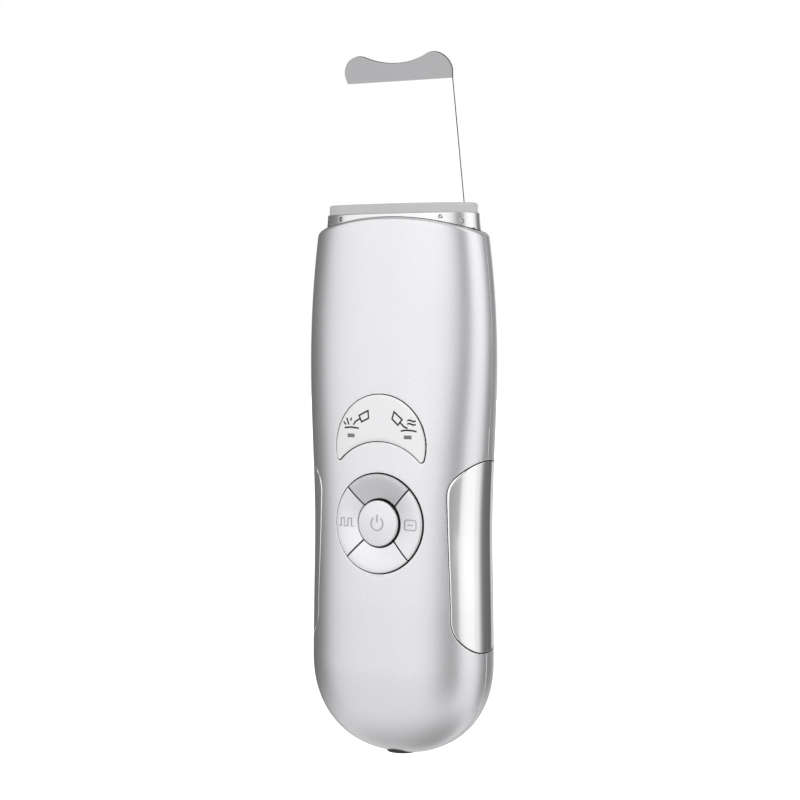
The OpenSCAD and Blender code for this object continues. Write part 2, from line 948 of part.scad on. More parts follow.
module dc_wires() {
    color([0.16, 0.16, 0.17]) {
        wire([[0, 0, socket_back_z + 1.6], [0, 1, 20], [-5, 3, 23], [-5, -board_back_y + 0.1, 23]]);
        wire([[3.4, 0, socket_back_z + 2.3], [3.6, 1, 20], [6, 3, 23], [6, -board_back_y + 0.1, 23]]);
    }
}

front_housing();
rear_housing();
neck_collar();
blade_seal();
blade();
blade_screws();
horn();
piezo_ring_upper();
piezo_ring_lower();
electrode_ring_upper();
electrode_ring_lower();
insulator_tube();
back_mass();
transducer_bolt();
transducer_boots();
on_off_key();
pulse_key();
pad_key();
upper_key();
lower_key();
on_off_plunger();
pulse_plunger();
pad_plunger();
upper_plunger();
lower_plunger();
key_switches();
main_board();
indicator_lens();
light_pipes();
mode_leds();
left_electrode_plate();
right_electrode_plate();
plate_nuts();
battery_pack();
battery_pad();
dc_socket();
dc_contact_pin();
dc_contact_spring();
housing_screws();
screw_plugs();
board_screws();
transformer_core();
transformer_coil();
control_chip();
power_transistors();
smoothing_capacitor();
wire_connectors();
battery_wires();
transducer_wires();
plate_wires();
dc_wires();
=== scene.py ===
"""Skin scrubber: smooth visual shells, keys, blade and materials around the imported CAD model."""
import json
import math
from contextlib import contextmanager
from itertools import product

import bmesh
import bpy
import numpy as np
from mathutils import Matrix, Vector
from mathutils.bvhtree import BVHTree


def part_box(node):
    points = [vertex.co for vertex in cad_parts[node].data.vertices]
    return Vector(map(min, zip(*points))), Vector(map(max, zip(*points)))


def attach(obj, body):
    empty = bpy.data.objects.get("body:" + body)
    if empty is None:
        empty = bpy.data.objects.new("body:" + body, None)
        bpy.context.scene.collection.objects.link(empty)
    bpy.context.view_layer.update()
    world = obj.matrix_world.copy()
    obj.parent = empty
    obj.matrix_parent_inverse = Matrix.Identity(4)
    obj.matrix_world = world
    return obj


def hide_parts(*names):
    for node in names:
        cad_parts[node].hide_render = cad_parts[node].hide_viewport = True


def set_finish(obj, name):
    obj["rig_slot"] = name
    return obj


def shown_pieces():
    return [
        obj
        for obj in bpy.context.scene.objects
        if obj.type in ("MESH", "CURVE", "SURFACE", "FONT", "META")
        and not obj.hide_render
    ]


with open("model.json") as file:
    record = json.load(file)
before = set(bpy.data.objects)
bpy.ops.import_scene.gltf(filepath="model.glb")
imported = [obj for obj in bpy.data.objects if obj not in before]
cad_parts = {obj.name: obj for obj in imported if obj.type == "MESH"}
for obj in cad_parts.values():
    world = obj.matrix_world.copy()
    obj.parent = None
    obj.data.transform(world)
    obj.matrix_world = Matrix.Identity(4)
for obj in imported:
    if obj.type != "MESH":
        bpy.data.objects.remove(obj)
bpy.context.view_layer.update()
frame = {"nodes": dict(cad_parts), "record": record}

MM = 0.001  # all sizes below are in millimetres

# ---- sizes from the frame


def box_mm(node):
    """Lowest and highest corner of a CAD node in millimetres."""
    low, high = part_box(node)
    return np.array(low) / MM, np.array(high) / MM


# The housing's form: the same rules as in the CAD model
BODY_LEN = 136.7
SWELL_W, WAIST_W, LOWER_W, SHOULDER_W = 52.7, 49.3, 50.1, 48.3
LOWER_D, SHOULDER_D = 26.6, 20.0
END_R, WAIST_Z, SWELL_Z, TAPER_Z, TAPER_POWER = 25.0, 58.0, 105.0, 40.0, 1.25
ARCH_RISE, ARCH_Z = 3.4, 100.0
SHOULDER_R, SHOULDER_TILT = 1.2, 0.08
SIDE_TOP = BODY_LEN - SHOULDER_R
SECTION_POWER, END_POWER = 2.8, 2.2
WALL = 1.8
PART_GAP = 0.06  # from the parting plane to either shell
PART_ROUND = 0.12
BACK_FLAT = box_mm("rear_housing")[1][1]

KEY_Z = sum(box_mm("on_off_key"))[2] / 2
DISC_R = 13.2
KEY_R = 12.86
CENTRE_R = 6.0
KEY_GAP = 0.28
KEY_BACK = 8.9

LENS_LOW, LENS_HIGH = box_mm("indicator_lens")
LENS_R = (LENS_HIGH[0] - LENS_LOW[0]) / 2
LENS_Z = LENS_HIGH[2] - LENS_R
LENS_ARC_R = 16.3
LENS_ARC_Z = LENS_Z - 15.1
LENS_TIP_R = 0.8
LENS_T = 0.9
LENS_PROUD = 0.28
LENS_INSET = 0.12  # the window is this much smaller than the crescent
LENS_POCKET = 0.14  # and its pocket this much larger
LED_X, _, LED_Z = box_mm("mode_leds")[1] - np.array([1.0, 0, 0.6])
LIGHT_HALF_W, LIGHT_HALF_H = 1.12, 0.5  # small windows over the lights
ICON_STROKE, ICON_RISE = 0.45, 0.025  # printed lines of the pictograms

PLATE_LOW, PLATE_HIGH = box_mm("right_electrode_plate")
PLATE_HALF_W = (PLATE_HIGH[1] - PLATE_LOW[1]) / 2
PLATE_BOTTOM, PLATE_TOP = PLATE_LOW[2], PLATE_HIGH[2]
PLATE_END_H, PLATE_POWER = 9.5, 2.6  # height and roundness of the plate's ends
PLATE_T = 0.6
PLATE_GAP = 0.3
PLATE_DROOP = 0.3  # the plate sinks towards its front and back edges
STUD_Y, STUD_HEIGHTS = 4.5, (42.0, 64.0)

NECK_TOP = box_mm("neck_collar")[1][2]
SEAL_TOP = box_mm("blade_seal")[1][2]
NECK_HALF_W, NECK_HALF_D = 22.0, 8.0
SEAL_INSET = 0.45
COLLAR_POWER = 2.5
LIP_X, LIP_Y = 0.57, 0.34  # the housing's lip lies this far outside the collar's size
NECK_FOOT = 131.0  # the housing's neck opening starts here
GROOVE_R = 0.6  # grooves round the collar's studs
# Place of each kind of stud, turn of the collar's face there in degrees, and drop from its top
COLLAR_STUDS = (15.0, 6.6, 15.3, 1.2), (19.9, 4.4, 37.7, 2.3)

BLADE_Y = -1.5
BLADE_T = 0.6
BLADE_ROOT_HALF, BLADE_BEND_HALF = 19.1, 15.7
BEND_Z = 176.4
BEND_R, TIP_BEND = 0.6, math.radians(20)
TIP_LEN, TIP_HOLLOW, LOBE_R, TIP_FLARE = 7.2, 2.4, 5.0, 0.4
TAB = 11.0, 127.6, 140.0  # half width, foot and top of the blade's tab in the horn
HOLE_X, HOLE_Z, HOLE_R = 8.0, 132.5, 1.1  # its screw holes


# ---- the housing's form


def mix(a, b, t):
    return a + (b - a) * t


def ease(t):
    t = np.clip(t, 0, 1)
    return t * t * (3 - 2 * t)


def half_w(z):
    """Half width of the housing at height z."""
    low = mix(LOWER_W, WAIST_W, ease((z - END_R) / (WAIST_Z - END_R)))
    mid = mix(WAIST_W, SWELL_W, ease((z - WAIST_Z) / (SWELL_Z - WAIST_Z)))
    top = mix(SWELL_W, SHOULDER_W, (np.maximum(z - SWELL_Z, 0) / (BODY_LEN - SWELL_Z)) ** 2)
    return np.where(z < WAIST_Z, low, np.where(z < SWELL_Z, mid, top)) / 2


def half_d(z):
    """Half depth of the housing at height z."""
    t = np.maximum(z - TAPER_Z, 0) / (BODY_LEN - TAPER_Z)
    return mix(LOWER_D, SHOULDER_D, t**TAPER_POWER) / 2


def rise(x, y, z):
    """Rise of the shoulder line, which is arched and falls towards the back."""
    share = ease((z - ARCH_Z) / (BODY_LEN - ARCH_Z))
    return share * (ARCH_RISE * (1 - (x / half_w(z)) ** 2) - SHOULDER_TILT * y)


def end_share(u):
    """Height above the lowest point and share of the full section, along the round end."""
    bulge = 2 / END_POWER
    return 1 - np.cos(u) ** bulge, np.sin(u) ** bulge


def skin_y(x, z):
    """Distance of the housing's face from the mid-plane."""
    u = np.clip(np.abs(x) / half_w(z), 0, 1)
    return half_d(z) * (1 - u**SECTION_POWER) ** (1 / SECTION_POWER)


def skin_x(y, z, inset=0.0):
    """Distance of the housing's side from the middle."""
    u = np.clip(np.abs(y) / (half_d(z) - inset), 0, 1)
    return (half_w(z) - inset) * (1 - u**SECTION_POWER) ** (1 / SECTION_POWER)


def oval(a, b, t, power):
    """Point of a rounded oval at angle t: x, y."""
    c, s = np.cos(t), np.sin(t)
    return a * np.sign(c) * np.abs(c) ** (2 / power), b * np.sign(s) * np.abs(s) ** (2 / power)


def section(z, t, inset=0.0, share=1.0):
    """Points x, y of the housing's section at height z."""
    return oval((half_w(z) - inset) * share, (half_d(z) - inset) * share, t, SECTION_POWER)


def ring(x, y, z):
    """Points of a loop; z may be one height for all."""
    return np.stack([x, y, np.broadcast_to(z, x.shape)], 1)


def even_angles(start, end, count, power, ratio=0.5):
    """Angles between start and end that lie at even distances along a rounded oval."""
    t = np.linspace(start, end, 4001)
    x, y = oval(1.0, ratio, t, power)
    run = np.concatenate([[0], np.cumsum(np.hypot(np.diff(x), np.diff(y)))])
    return np.interp(np.linspace(0, run[-1], count), run, t)


# ---- mesh helpers


def grid_faces(rows, cols, start=0, wrap=False, flip=False):
    """Quads of a grid of rows x cols points."""
    faces = []
    for r in range(rows - 1):
        for c in range(cols if wrap else cols - 1):
            d = (c + 1) % cols
            quad = [start + r * cols + c, start + r * cols + d]
            quad += [start + (r + 1) * cols + d, start + (r + 1) * cols + c]
            faces.append(quad[::-1] if flip else quad)
    return faces


def end_faces(rows, cols):
    """The first and the last row of a grid as one face each."""
    return [list(range(cols))[::-1], [(rows - 1) * cols + c for c in range(cols)]]


def link(name, data):
    obj = bpy.data.objects.new(name, data)
    bpy.context.scene.collection.objects.link(obj)
    return obj


def add_object(name, verts, faces):
    """Makes an object from points in millimetres."""
    mesh = bpy.data.meshes.new(name)
    mesh.from_pydata((np.asarray(verts, dtype=float) * MM).tolist(), [], faces)
    mesh.update()
    mesh.shade_smooth()
    return link(name, mesh)


@contextmanager
def editing(obj):
    """The object's mesh as a bmesh, written back at the end."""
    bm = bmesh.new()
    bm.from_mesh(obj.data)
    yield bm
    bm.to_mesh(obj.data)
    bm.free()


def closed(name, verts, faces):
    """Closed object with all faces turned outwards."""
    obj = add_object(name, verts, faces)
    with editing(obj) as bm:
        bmesh.ops.recalc_face_normals(bm, faces=bm.faces)
    return obj


def stack_solid(name, loops):
    """Closed solid through loops of points that all have the same count."""
    rows, cols = len(loops), len(loops[0])
    return closed(name, np.concatenate(loops), grid_faces(rows, cols, wrap=True) + end_faces(rows, cols))


def modify(obj, kind, **settings):
    """Adds a modifier and applies it."""
    mod = obj.modifiers.new("change", kind)
    for key, value in settings.items():
        setattr(mod, key, value)
    graph = bpy.context.evaluated_depsgraph_get()
    mesh = bpy.data.meshes.new_from_object(obj.evaluated_get(graph))
    old = obj.data
    obj.modifiers.clear()
    obj.data = mesh
    bpy.data.meshes.remove(old)


def cut(obj, cutter, solver="MANIFOLD"):
    """Cuts obj with cutter, and removes the cutter."""
    modify(obj, "BOOLEAN", operation="DIFFERENCE", solver=solver, object=cutter)
    bpy.data.objects.remove(cutter, do_unlink=True)


def sharpen(obj, degrees):
    """Smooth shading with the edges above an angle kept sharp."""
    with editing(obj) as bm:
        for face in bm.faces:
            face.smooth = True
        for edge in bm.edges:
            edge.smooth = len(edge.link_faces) == 2 and edge.calc_face_angle(0) < math.radians(degrees)


def bevel(obj, width, degrees):
    """Rounds the edges above an angle."""
    limit = math.radians(degrees)
    modify(obj, "BEVEL", width=width * MM, segments=2, limit_method="ANGLE", angle_limit=limit)


def prism(name, outline, low, high, place):
    """Closed prism on an outline of 2-D points; place turns (u, v, depth) into x, y, z."""
    obj = stack_solid(name, [[place(u, v, depth) for u, v in outline] for depth in (low, high)])
    obj.data.shade_flat()
    return obj


def along_y(u, v, depth):
    return (u, depth, v)


def along_x(u, v, depth):
    return (depth, u, v)


def along_z(u, v, depth):
    return (u, v, depth)


def arc(cx, cy, radius, start, end, count):
    """Points of an arc between two angles in radians."""
    angles = np.linspace(start, end, count)
    return [(cx + radius * math.cos(a), cy + radius * math.sin(a)) for a in angles]


def circle(x, y, radius, count=96):
    return arc(x, y, radius, 0, 2 * math.pi, count + 1)[:-1]


def rectangle(half, low, high):
    return [(-half, low), (half, low), (half, high), (-half, high)]


def keep_source_normals(obj, source_tree, normals, tolerance=0.02):
    """Shades the cut shell like the uncut one, so that no cut leaves a dent in the shine."""
    mesh = obj.data
    loops = [Vector((0, 0, 0))] * len(mesh.loops)
    for face in mesh.polygons:
        for k in face.loop_indices:
            point = mesh.vertices[mesh.loops[k].vertex_index].co
            near, _, index, gap = source_tree.find_nearest(point)
            if near is not None and gap < tolerance * MM:
                normal = normals(near, index)
                if normal.dot(face.normal) > 0.85:
                    loops[k] = normal
    mesh.normals_split_custom_set(loops)


# ---- outlines


def lens_runs(grow=0.0):
    """The crescent in x, z, anticlockwise: its top, left tip, lower arc and right tip."""
    outer, inner, tip = LENS_R + grow, LENS_ARC_R - grow, LENS_TIP_R + grow
    # centre of the right tip's round: touches the outer arc inside and the lower arc outside
    drop = LENS_Z - LENS_ARC_Z
    a, b = outer - tip, inner + tip
    v = (b * b - a * a + drop * drop) / (2 * drop)
    cx, cz = math.sqrt(b * b - v * v), LENS_ARC_Z + v
    outer_turn = math.atan2(cz - LENS_Z, cx)
    inner_turn = math.atan2(cz - LENS_ARC_Z, cx)
    top = arc(0, LENS_Z, outer, outer_turn, math.pi - outer_turn, 90)
    left = arc(-cx, cz, tip, math.pi - outer_turn, 2 * math.pi - inner_turn, 12)
    low = arc(0, LENS_ARC_Z, inner, math.pi - inner_turn, inner_turn, 90)
    right = arc(cx, cz, tip, inner_turn - math.pi, outer_turn, 12)
    return top, left[1:-1], low, right[1:-1]


def lens_outline(grow=0.0):
    return sum(lens_runs(grow), [])


def plate_half_width(z, grow=0.0):
    """Half width of the side plate in y at height z, with rounded ends."""
    z = np.asarray(z, dtype=float)
    past = np.maximum(PLATE_BOTTOM + PLATE_END_H - z, z - PLATE_TOP + PLATE_END_H)
    u = np.clip(past / (PLATE_END_H + grow), 0, 1)
    return (PLATE_HALF_W + grow) * (1 - u**PLATE_POWER) ** (1 / PLATE_POWER)


def plate_rows(count, grow=0.0):
    """Heights of the plate's rows, denser at the round ends."""
    t = np.linspace(0, math.pi, count)
    return mix(PLATE_BOTTOM - grow, PLATE_TOP + grow, (1 - np.cos(t)) / 2)


def plate_outline(grow=0.0, count=120):
    """The side plate's outline in y, z."""
    z = plate_rows(count, grow)
    w = plate_half_width(z, grow)
    right = list(zip(w[1:-1], z[1:-1]))
    left = [(-y, h) for y, h in right[::-1]]
    return [(0.0, z[0])] + right + [(0.0, z[-1])] + left


def distance_to(points, outline, reach):
    """Distance of each 2-D point to a closed outline, up to reach."""
    loop = np.array(outline + outline[:1])
    marks = []
    for p, q in zip(loop[:-1], loop[1:]):
        steps = max(2, int(np.hypot(*(q - p)) / 0.1))
        marks.append(p + (q - p) * np.linspace(0, 1, steps, endpoint=False)[:, None])
    marks = np.concatenate(marks)
    out = np.full(len(points), reach)
    low, high = marks.min(0) - reach, marks.max(0) + reach
    near = np.where(((points > low) & (points < high)).all(1))[0]
    for block in np.array_split(near, max(1, len(near) // 2000 + 1)):
        if len(block):
            gap = points[block][:, None] - marks
            out[block] = np.minimum(reach, np.sqrt((gap**2).sum(2)).min(1))
    return out


def edge_gap(u, v, outline):
    """Distance of a grid's points to an outline, as far as a rounded edge needs it."""
    return distance_to(np.stack([u.ravel(), v.ravel()], 1), outline, 0.3).reshape(u.shape)


# ---- housings

COLS = 150  # points across one shell, from seam to seam
ROW_STEP = 0.9  # and between its rows
EDGE_ROUND = 0.2  # rounding of the openings' edges
INLET_R = 4.35
BORE_R = 2.2  # counterbores of the housing screws


def seam_inset(depth):
    """How far the section is drawn in near the parting plane, which rounds its edge."""
    near = np.clip((PART_ROUND - (depth - PART_GAP)) / PART_ROUND, 0, 1)
    return PART_ROUND * (1 - np.sqrt(1 - near**2))


def collar_reach(x, y, grow, grow_y):
    """Below 1 inside an outline round the neck collar, above 1 outside."""
    u, v = np.abs(x) / (NECK_HALF_W + grow), np.abs(y) / (NECK_HALF_D + grow_y)
    return u**COLLAR_POWER + v**COLLAR_POWER


def shoulder_row(t, inset, side):
    """Row of points on the shoulder, drawn in from the side by inset."""
    over = np.clip(1 - inset / SHOULDER_R, 0, 1)
    z = SIDE_TOP + SHOULDER_R * np.sqrt(1 - over**2)
    x, y = section(z, t, inset)
    return ring(x, y, z + rise(x, side * y, z))


def round_end(t, wall, degrees):
    """Rows of points over the round end; wall draws them in."""
    rows = []
    for u in np.radians(degrees):
        up, share = end_share(u)
        rows.append(ring(*section(END_R, t, wall, share), wall + (END_R - wall) * up))
    return rows


def outer_rows(t, side):
    """Rows of points up the outside, over the shoulder and down beside the collar."""
    rows = round_end(t, 0.0, np.linspace(4, 90, int(45 / ROW_STEP)))
    heights = np.arange(END_R + ROW_STEP, SIDE_TOP - 0.01, ROW_STEP)
    for z in np.append(heights, SIDE_TOP):
        x, y = section(z, t)
        rows.append(ring(x, y, z + rise(x, side * y, z)))
    # the inset at which the shoulder meets the neck collar
    low, high = np.zeros_like(t), np.full_like(t, 3.0)
    for _ in range(30):
        mid = (low + high) / 2
        x, y, _z = shoulder_row(t, mid, side).T
        outside = collar_reach(x, y, LIP_X, LIP_Y) > 1
        low, high = np.where(outside, mid, low), np.where(outside, high, mid)
    insets = [inset for inset, _ in rounding(SHOULDER_R, np.linspace(0, 90, 12))]
    rows += [shoulder_row(t, inset, side) for inset in [*insets[1:], mix(SHOULDER_R, high, 0.5), high]]
    # the lip turns into the gap beside the collar and goes down inside the neck
    lip = rows[-1]
    rows += [lip - (0, 0, drop) for drop in (0.15, 0.5, 1.5)]
    rows.append(ring(lip[:, 0], lip[:, 1], NECK_FOOT))
    return rows


def shell_solid(name, side):
    """The outside of a shell as a solid; side is -1 for the front and 1 for the back."""
    pts = np.stack(outer_rows(section_angles(COLS), side))
    depth = np.maximum(np.abs(pts[..., 1]), PART_GAP)
    # the seam's edge is rounded on both sides, and left plain near the middle
    pts[..., 0] -= np.sign(pts[..., 0]) * seam_inset(depth) * (np.abs(pts[..., 0]) > 8)
    pts[..., 1] = side * depth
    if side > 0:
        # the back's flat, met with a soft edge
        soft = 0.25
        h = np.clip(0.5 + 0.5 * (BACK_FLAT - pts[..., 1]) / soft, 0, 1)
        pts[..., 1] = mix(BACK_FLAT, pts[..., 1], h) - soft * h * (1 - h)
    return stack_solid(name, pts)


def section_angles(count):
    """Angles from the left seam over the face to the right seam, with extra points at the seams."""
    half_depth = 12.0  # about the housing's
    near = np.array([0.03, 0.1, 0.16, 0.24, 0.34]) / half_depth
    extra = np.arcsin(near ** (SECTION_POWER / 2))
    t = np.concatenate([even_angles(0, math.pi, count, SECTION_POWER), extra, math.pi - extra])
    return np.unique(np.round(t, 7))


def cavity_solid(side):
    """The space inside a shell."""
    t = even_angles(0, math.pi, 60, SECTION_POWER)
    rows = round_end(t, WALL, np.linspace(6, 90, 20))
    rows += [ring(*section(z, t, WALL), z) for z in np.linspace(END_R + 3, BODY_LEN - WALL, 36)]
    pts = np.stack(rows)
    pts[..., 1] = side * np.abs(pts[..., 1])
    if side > 0:
        pts[..., 1] = np.minimum(pts[..., 1], BACK_FLAT - WALL)
    # a step across the parting plane, so that the cut passes right through it
    pts[:, [0, -1], 1] = -side
    return stack_solid("cavity", pts)


def soften_openings(obj, side):
    """Refines the shell round its openings and rolls their edges inwards."""
    reach = 1.3

    def gaps(bm):
        pts = np.array([v.co[:] for v in bm.verts]) / MM
        out = np.full(len(pts), reach)

        def near(pick, axes, outline):
            pick = np.where(pick)[0]
            out[pick] = np.minimum(out[pick], distance_to(pts[pick][:, axes], outline, reach))

        for sign in (-1, 1):
            near(sign * pts[:, 0] > 14, [1, 2], plate_outline(PLATE_GAP))
        if side < 0:
            front = (pts[:, 1] < -8) & (np.abs(pts[:, 0]) < 16)
            for outline in (lens_outline(LENS_POCKET), circle(0, KEY_Z, DISC_R, 240)):
                near(front, [0, 2], outline)
        return out

    with editing(obj) as bm:
        gap = gaps(bm)
        bm.verts.index_update()
        edges = [e for e in bm.edges if gap[e.verts[0].index] < 0.9 and gap[e.verts[1].index] < 0.9]
        bmesh.ops.subdivide_edges(bm, edges=edges, cuts=2, use_grid_fill=True)
        bm.normal_update()
        near = np.clip((EDGE_ROUND - gaps(bm)) / EDGE_ROUND, 0, 1)
        push = EDGE_ROUND * (1 - np.sqrt(1 - near**2))
        for vert, amount in zip(bm.verts, push):
            if amount > 0:
                vert.co -= vert.normal * float(amount) * MM


def tree_with_normals(obj):
    """BVH of a mesh, and a function that gives its smooth normal at a point of a face."""
    mesh = obj.data
    mesh.calc_loop_triangles()
    verts = [v.co.copy() for v in mesh.vertices]
    tris = [tuple(t.vertices) for t in mesh.loop_triangles]
    vert_normals = [v.normal.copy() for v in mesh.vertices]
    tree = BVHTree.FromPolygons(verts, tris)

    def normal_at(point, index):
        a, b, c = tris[index]
        pa, pb, pc = verts[a], verts[b], verts[c]
        area = (pb - pa).cross(pc - pa).length
        if area < 1e-16:
            return vert_normals[a]
        wa = (pb - point).cross(pc - point).length / area
        wb = (pc - point).cross(pa - point).length / area
        wc = (pa - point).cross(pb - point).length / area
        return (vert_normals[a] * wa + vert_normals[b] * wb + vert_normals[c] * wc).normalized()

    return tree, normal_at


def plate_recess(side_x):
    """Cutter for the recess that holds a side plate."""
    z = plate_rows(70, PLATE_GAP)
    y = np.maximum(plate_half_width(z, PLATE_GAP), 0.02)[:, None] * np.linspace(-1, 1, 41)
    z = np.repeat(z[:, None], y.shape[1], 1)
    deep = np.stack([side_x * skin_x(y, z, PLATE_T + 0.1), y, z], 2)
    far = np.stack([np.full_like(y, side_x * 34.0), y, z], 2)
    return slab("plate_recess", deep, far)


def islands(node):
    """Lowest and highest corner of each separate solid in a CAD node."""
    bm = bmesh.new()
    bm.from_mesh(frame["nodes"][node].data)
    bmesh.ops.remove_doubles(bm, verts=bm.verts, dist=1e-6)
    left = set(bm.verts)
    found = []
    while left:
        stack = [left.pop()]
        group = list(stack)
        while stack:
            ends = {vert for edge in stack.pop().link_edges for vert in edge.verts} & left
            left -= ends
            group += ends
            stack += ends
        pts = np.array([v.co[:] for v in group]) / MM
        found.append((pts.min(0), pts.max(0)))
    bm.free()
    return sorted(found, key=lambda box: tuple(box[0].round(3)))


def second_material(obj, pick):
    """Gives the faces that pick chooses by centre and normal the second material."""
    centres, normals = np.empty((2, len(obj.data.polygons) * 3))
    obj.data.polygons.foreach_get("center", centres)
    obj.data.polygons.foreach_get("normal", normals)
    chosen = pick(centres.reshape(-1, 3) / MM, normals.reshape(-1, 3))
    for _ in range(2):
        obj.data.materials.append(None)
    obj.data.polygons.foreach_set("material_index", chosen.astype(np.int32))


def raw_and_shade_behind(obj, face, depth):
    """Leaves what lies more than a depth behind the face of a key or window as dark raw plastic, which
    paints the shade along its sides.
    """
    second_material(obj, lambda centres, _: -centres[:, 1] < face(centres[:, 0], centres[:, 2]) - depth)


def housing(name, side):
    obj = shell_solid(name + "_visual", side)
    soften_openings(obj, side)
    tree, normal_at = tree_with_normals(obj)
    cut(obj, cavity_solid(side))
    for side_x in (-1, 1):
        cut(obj, plate_recess(side_x))
    cut(obj, prism("inlet", circle(0, 0, INLET_R), -2, 10, along_z))
    bores = []
    if side < 0:
        cut(obj, prism("disc", circle(0, KEY_Z, DISC_R, 240), -20, -6, along_y))
        cut(obj, lens_pocket())
    else:
        for low, high in islands("screw_plugs"):
            x, _, z = (low + high) / 2
            bores.append((x, z))
            cut(obj, prism("counterbore", circle(x, z, BORE_R, 48), low[1] - 1.5, 20, along_y))
    keep_source_normals(obj, tree, normal_at)

    # Faces off the outer skin (the inside, the seam, the walls of openings and grooves, the neck's opening)
    # get the dark second material: raw plastic whose dark colour also paints the shade in these gaps. The
    # counterbores stay silver.
    def raw_and_gap_shade(centres, normals):
        x, y, z = centres.T
        near = [tree.find_nearest(Vector(c * MM)) for c in centres]
        raw_and_shaded = np.array([hit[3] > 0.05 * MM for hit in near])
        raw_and_shaded |= np.array([normal_at(hit[0], hit[2]).dot(n) < 0.7 for hit, n in zip(near, normals)])
        raw_and_shaded |= np.abs(y) < PART_GAP + 0.02
        raw_and_shaded |= (z > NECK_FOOT - 1) & (collar_reach(x, y, LIP_X + 0.02, LIP_Y + 0.02) < 1)
        for bore_x, bore_z in bores:
            raw_and_shaded &= np.hypot(x - bore_x, z - bore_z) > BORE_R + 0.1
        return raw_and_shaded

    second_material(obj, raw_and_gap_shade)
    finish_piece(obj, "handset", "silver_paint", [name])


def crescent_grid(grow, across=15):
    """Points x, z of the crescent as rows from the lower arc to the upper one."""
    top, left, low, right = lens_runs(grow)
    # both rows run from the right tip to the left one; each tip's round is shared out
    upper = np.array(right[len(right) // 2 :] + top + left[: len(left) // 2])
    lower = np.array((left[len(left) // 2 :] + low + right[: len(right) // 2])[::-1])
    grid = mix(lower[None], upper[None], np.linspace(0, 1, across)[:, None, None])
    return grid[..., 0], grid[..., 1]


def lens_pocket():
    """Cutter for the crescent's pocket, which leaves a floor behind the window."""
    x, z = crescent_grid(LENS_POCKET)
    face = skin_y(x, z)
    return front_slab("pocket", x, z, face + 4, face - LENS_T - 0.15)


# ---- small builders


def ring_faces(rim, count):
    """Side faces between a rim on the front points and the same rim count points later."""
    return [[a, b, b + count, a + count] for a, b in zip(rim, rim[1:] + rim[:1])]


def grid_rim(rows, cols):
    """Indices round the edge of a grid."""
    index = np.arange(rows * cols).reshape(rows, cols)
    sides = index[0], index[1:, -1], index[-1, -2::-1], index[-2:0:-1, 0]
    return np.concatenate(sides).tolist()


def slab(name, near, deep):
    """Closed piece between two grids of points of the same shape."""
    rows, cols = near.shape[:2]
    count = rows * cols
    faces = grid_faces(rows, cols) + grid_faces(rows, cols, start=count, flip=True)
    faces += ring_faces(grid_rim(rows, cols), count)
    return closed(name, np.concatenate([near.reshape(-1, 3), deep.reshape(-1, 3)]), faces)


def front_slab(name, x, z, front, back):
    """Closed piece over a grid in x, z between two depths in front of the mid-plane."""
    return slab(name, np.stack([x, -front, z], 2), np.stack([x, -back, z], 2))


def rounding(radius, degrees):
    """Pairs of inset and drop below the top along a rounded edge."""
    return [(radius * (1 - math.cos(v)), radius * (1 - math.sin(v))) for v in np.radians(degrees)]


def edge_drop(gaps, radius):
    """How far a rounded edge has fallen at given distances from several edges."""
    near = sum(np.clip((radius - gap) / radius, 0, 1) ** 2 for gap in gaps)
    return radius * (1 - np.sqrt(1 - np.clip(near, 0, 1)))


def edge_steps(radius, count=6):
    """Distances from an edge at which a rounded edge needs points."""
    return radius * (1 - np.cos(np.linspace(0, math.pi / 2, count)))


def ribbon(name, paths, width, face, height):
    """Raised strokes along paths of x, z points, following a surface that faces -Y."""
    verts, faces = [], []
    for path, loop in paths:
        pts = np.array(path, dtype=float)
        count = len(pts)
        ahead = np.roll(pts, -1, 0) - pts
        behind = pts - np.roll(pts, 1, 0)
        if not loop:
            ahead[-1], behind[0] = behind[-1], ahead[0]
        ahead /= np.linalg.norm(ahead, axis=1)[:, None]
        behind /= np.linalg.norm(behind, axis=1)[:, None]
        side = np.stack([-(ahead + behind)[:, 1], (ahead + behind)[:, 0]], 1)
        side /= np.linalg.norm(side, axis=1)[:, None]
        turn = np.clip((side * np.stack([-ahead[:, 1], ahead[:, 0]], 1)).sum(1), 0.45, 1)
        half = width / 2 / turn
        # across the stroke: foot, shoulder, top and the same down again
        profile = [(-1.0, -0.12), (-0.96, 0.45), (-0.62, 1.0), (0.62, 1.0), (0.96, 0.45), (1.0, -0.12)]
        start = len(verts)
        for i in range(count):
            for across, lift in profile:
                x, z = pts[i] + side[i] * half[i] * across
                verts.append((x, -(float(face(x, z)) + height * lift), z))
        size = len(profile)
        rows = count + 1 if loop else count
        strip = grid_faces(rows, size, wrap=True) + ([] if loop else end_faces(count, size))
        faces += [[start + v % (count * size) for v in face] for face in strip]
    obj = closed(name, verts, faces)
    sharpen(obj, 40)
    return obj


def dense(path, loop=False, step=0.35):
    """The same path with extra points, so that it follows a curved surface, and whether it is closed."""
    pts = [np.array(p, dtype=float) for p in path]
    out = []
    for p, q in zip(pts, pts[1:] + (pts[:1] if loop else [])):
        n = max(1, int(np.linalg.norm(q - p) / step))
        out += [p + (q - p) * k / n for k in range(n)]
    return (out if loop else out + pts[-1:]), loop


def join(name, objs):
    """One object from several."""
    bm = bmesh.new()
    for obj in objs:
        bm.from_mesh(obj.data)
    mesh = bpy.data.meshes.new(name)
    bm.to_mesh(mesh)
    bm.free()
    for obj in objs:
        bpy.data.objects.remove(obj, do_unlink=True)
    return link(name, mesh)


def finish_piece(obj, body, slot, nodes=()):
    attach(obj, body)
    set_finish(obj, slot)
    if nodes:
        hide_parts(*nodes)


# ---- crescent window


def lens_face(x, z):
    return skin_y(x, z) + LENS_PROUD


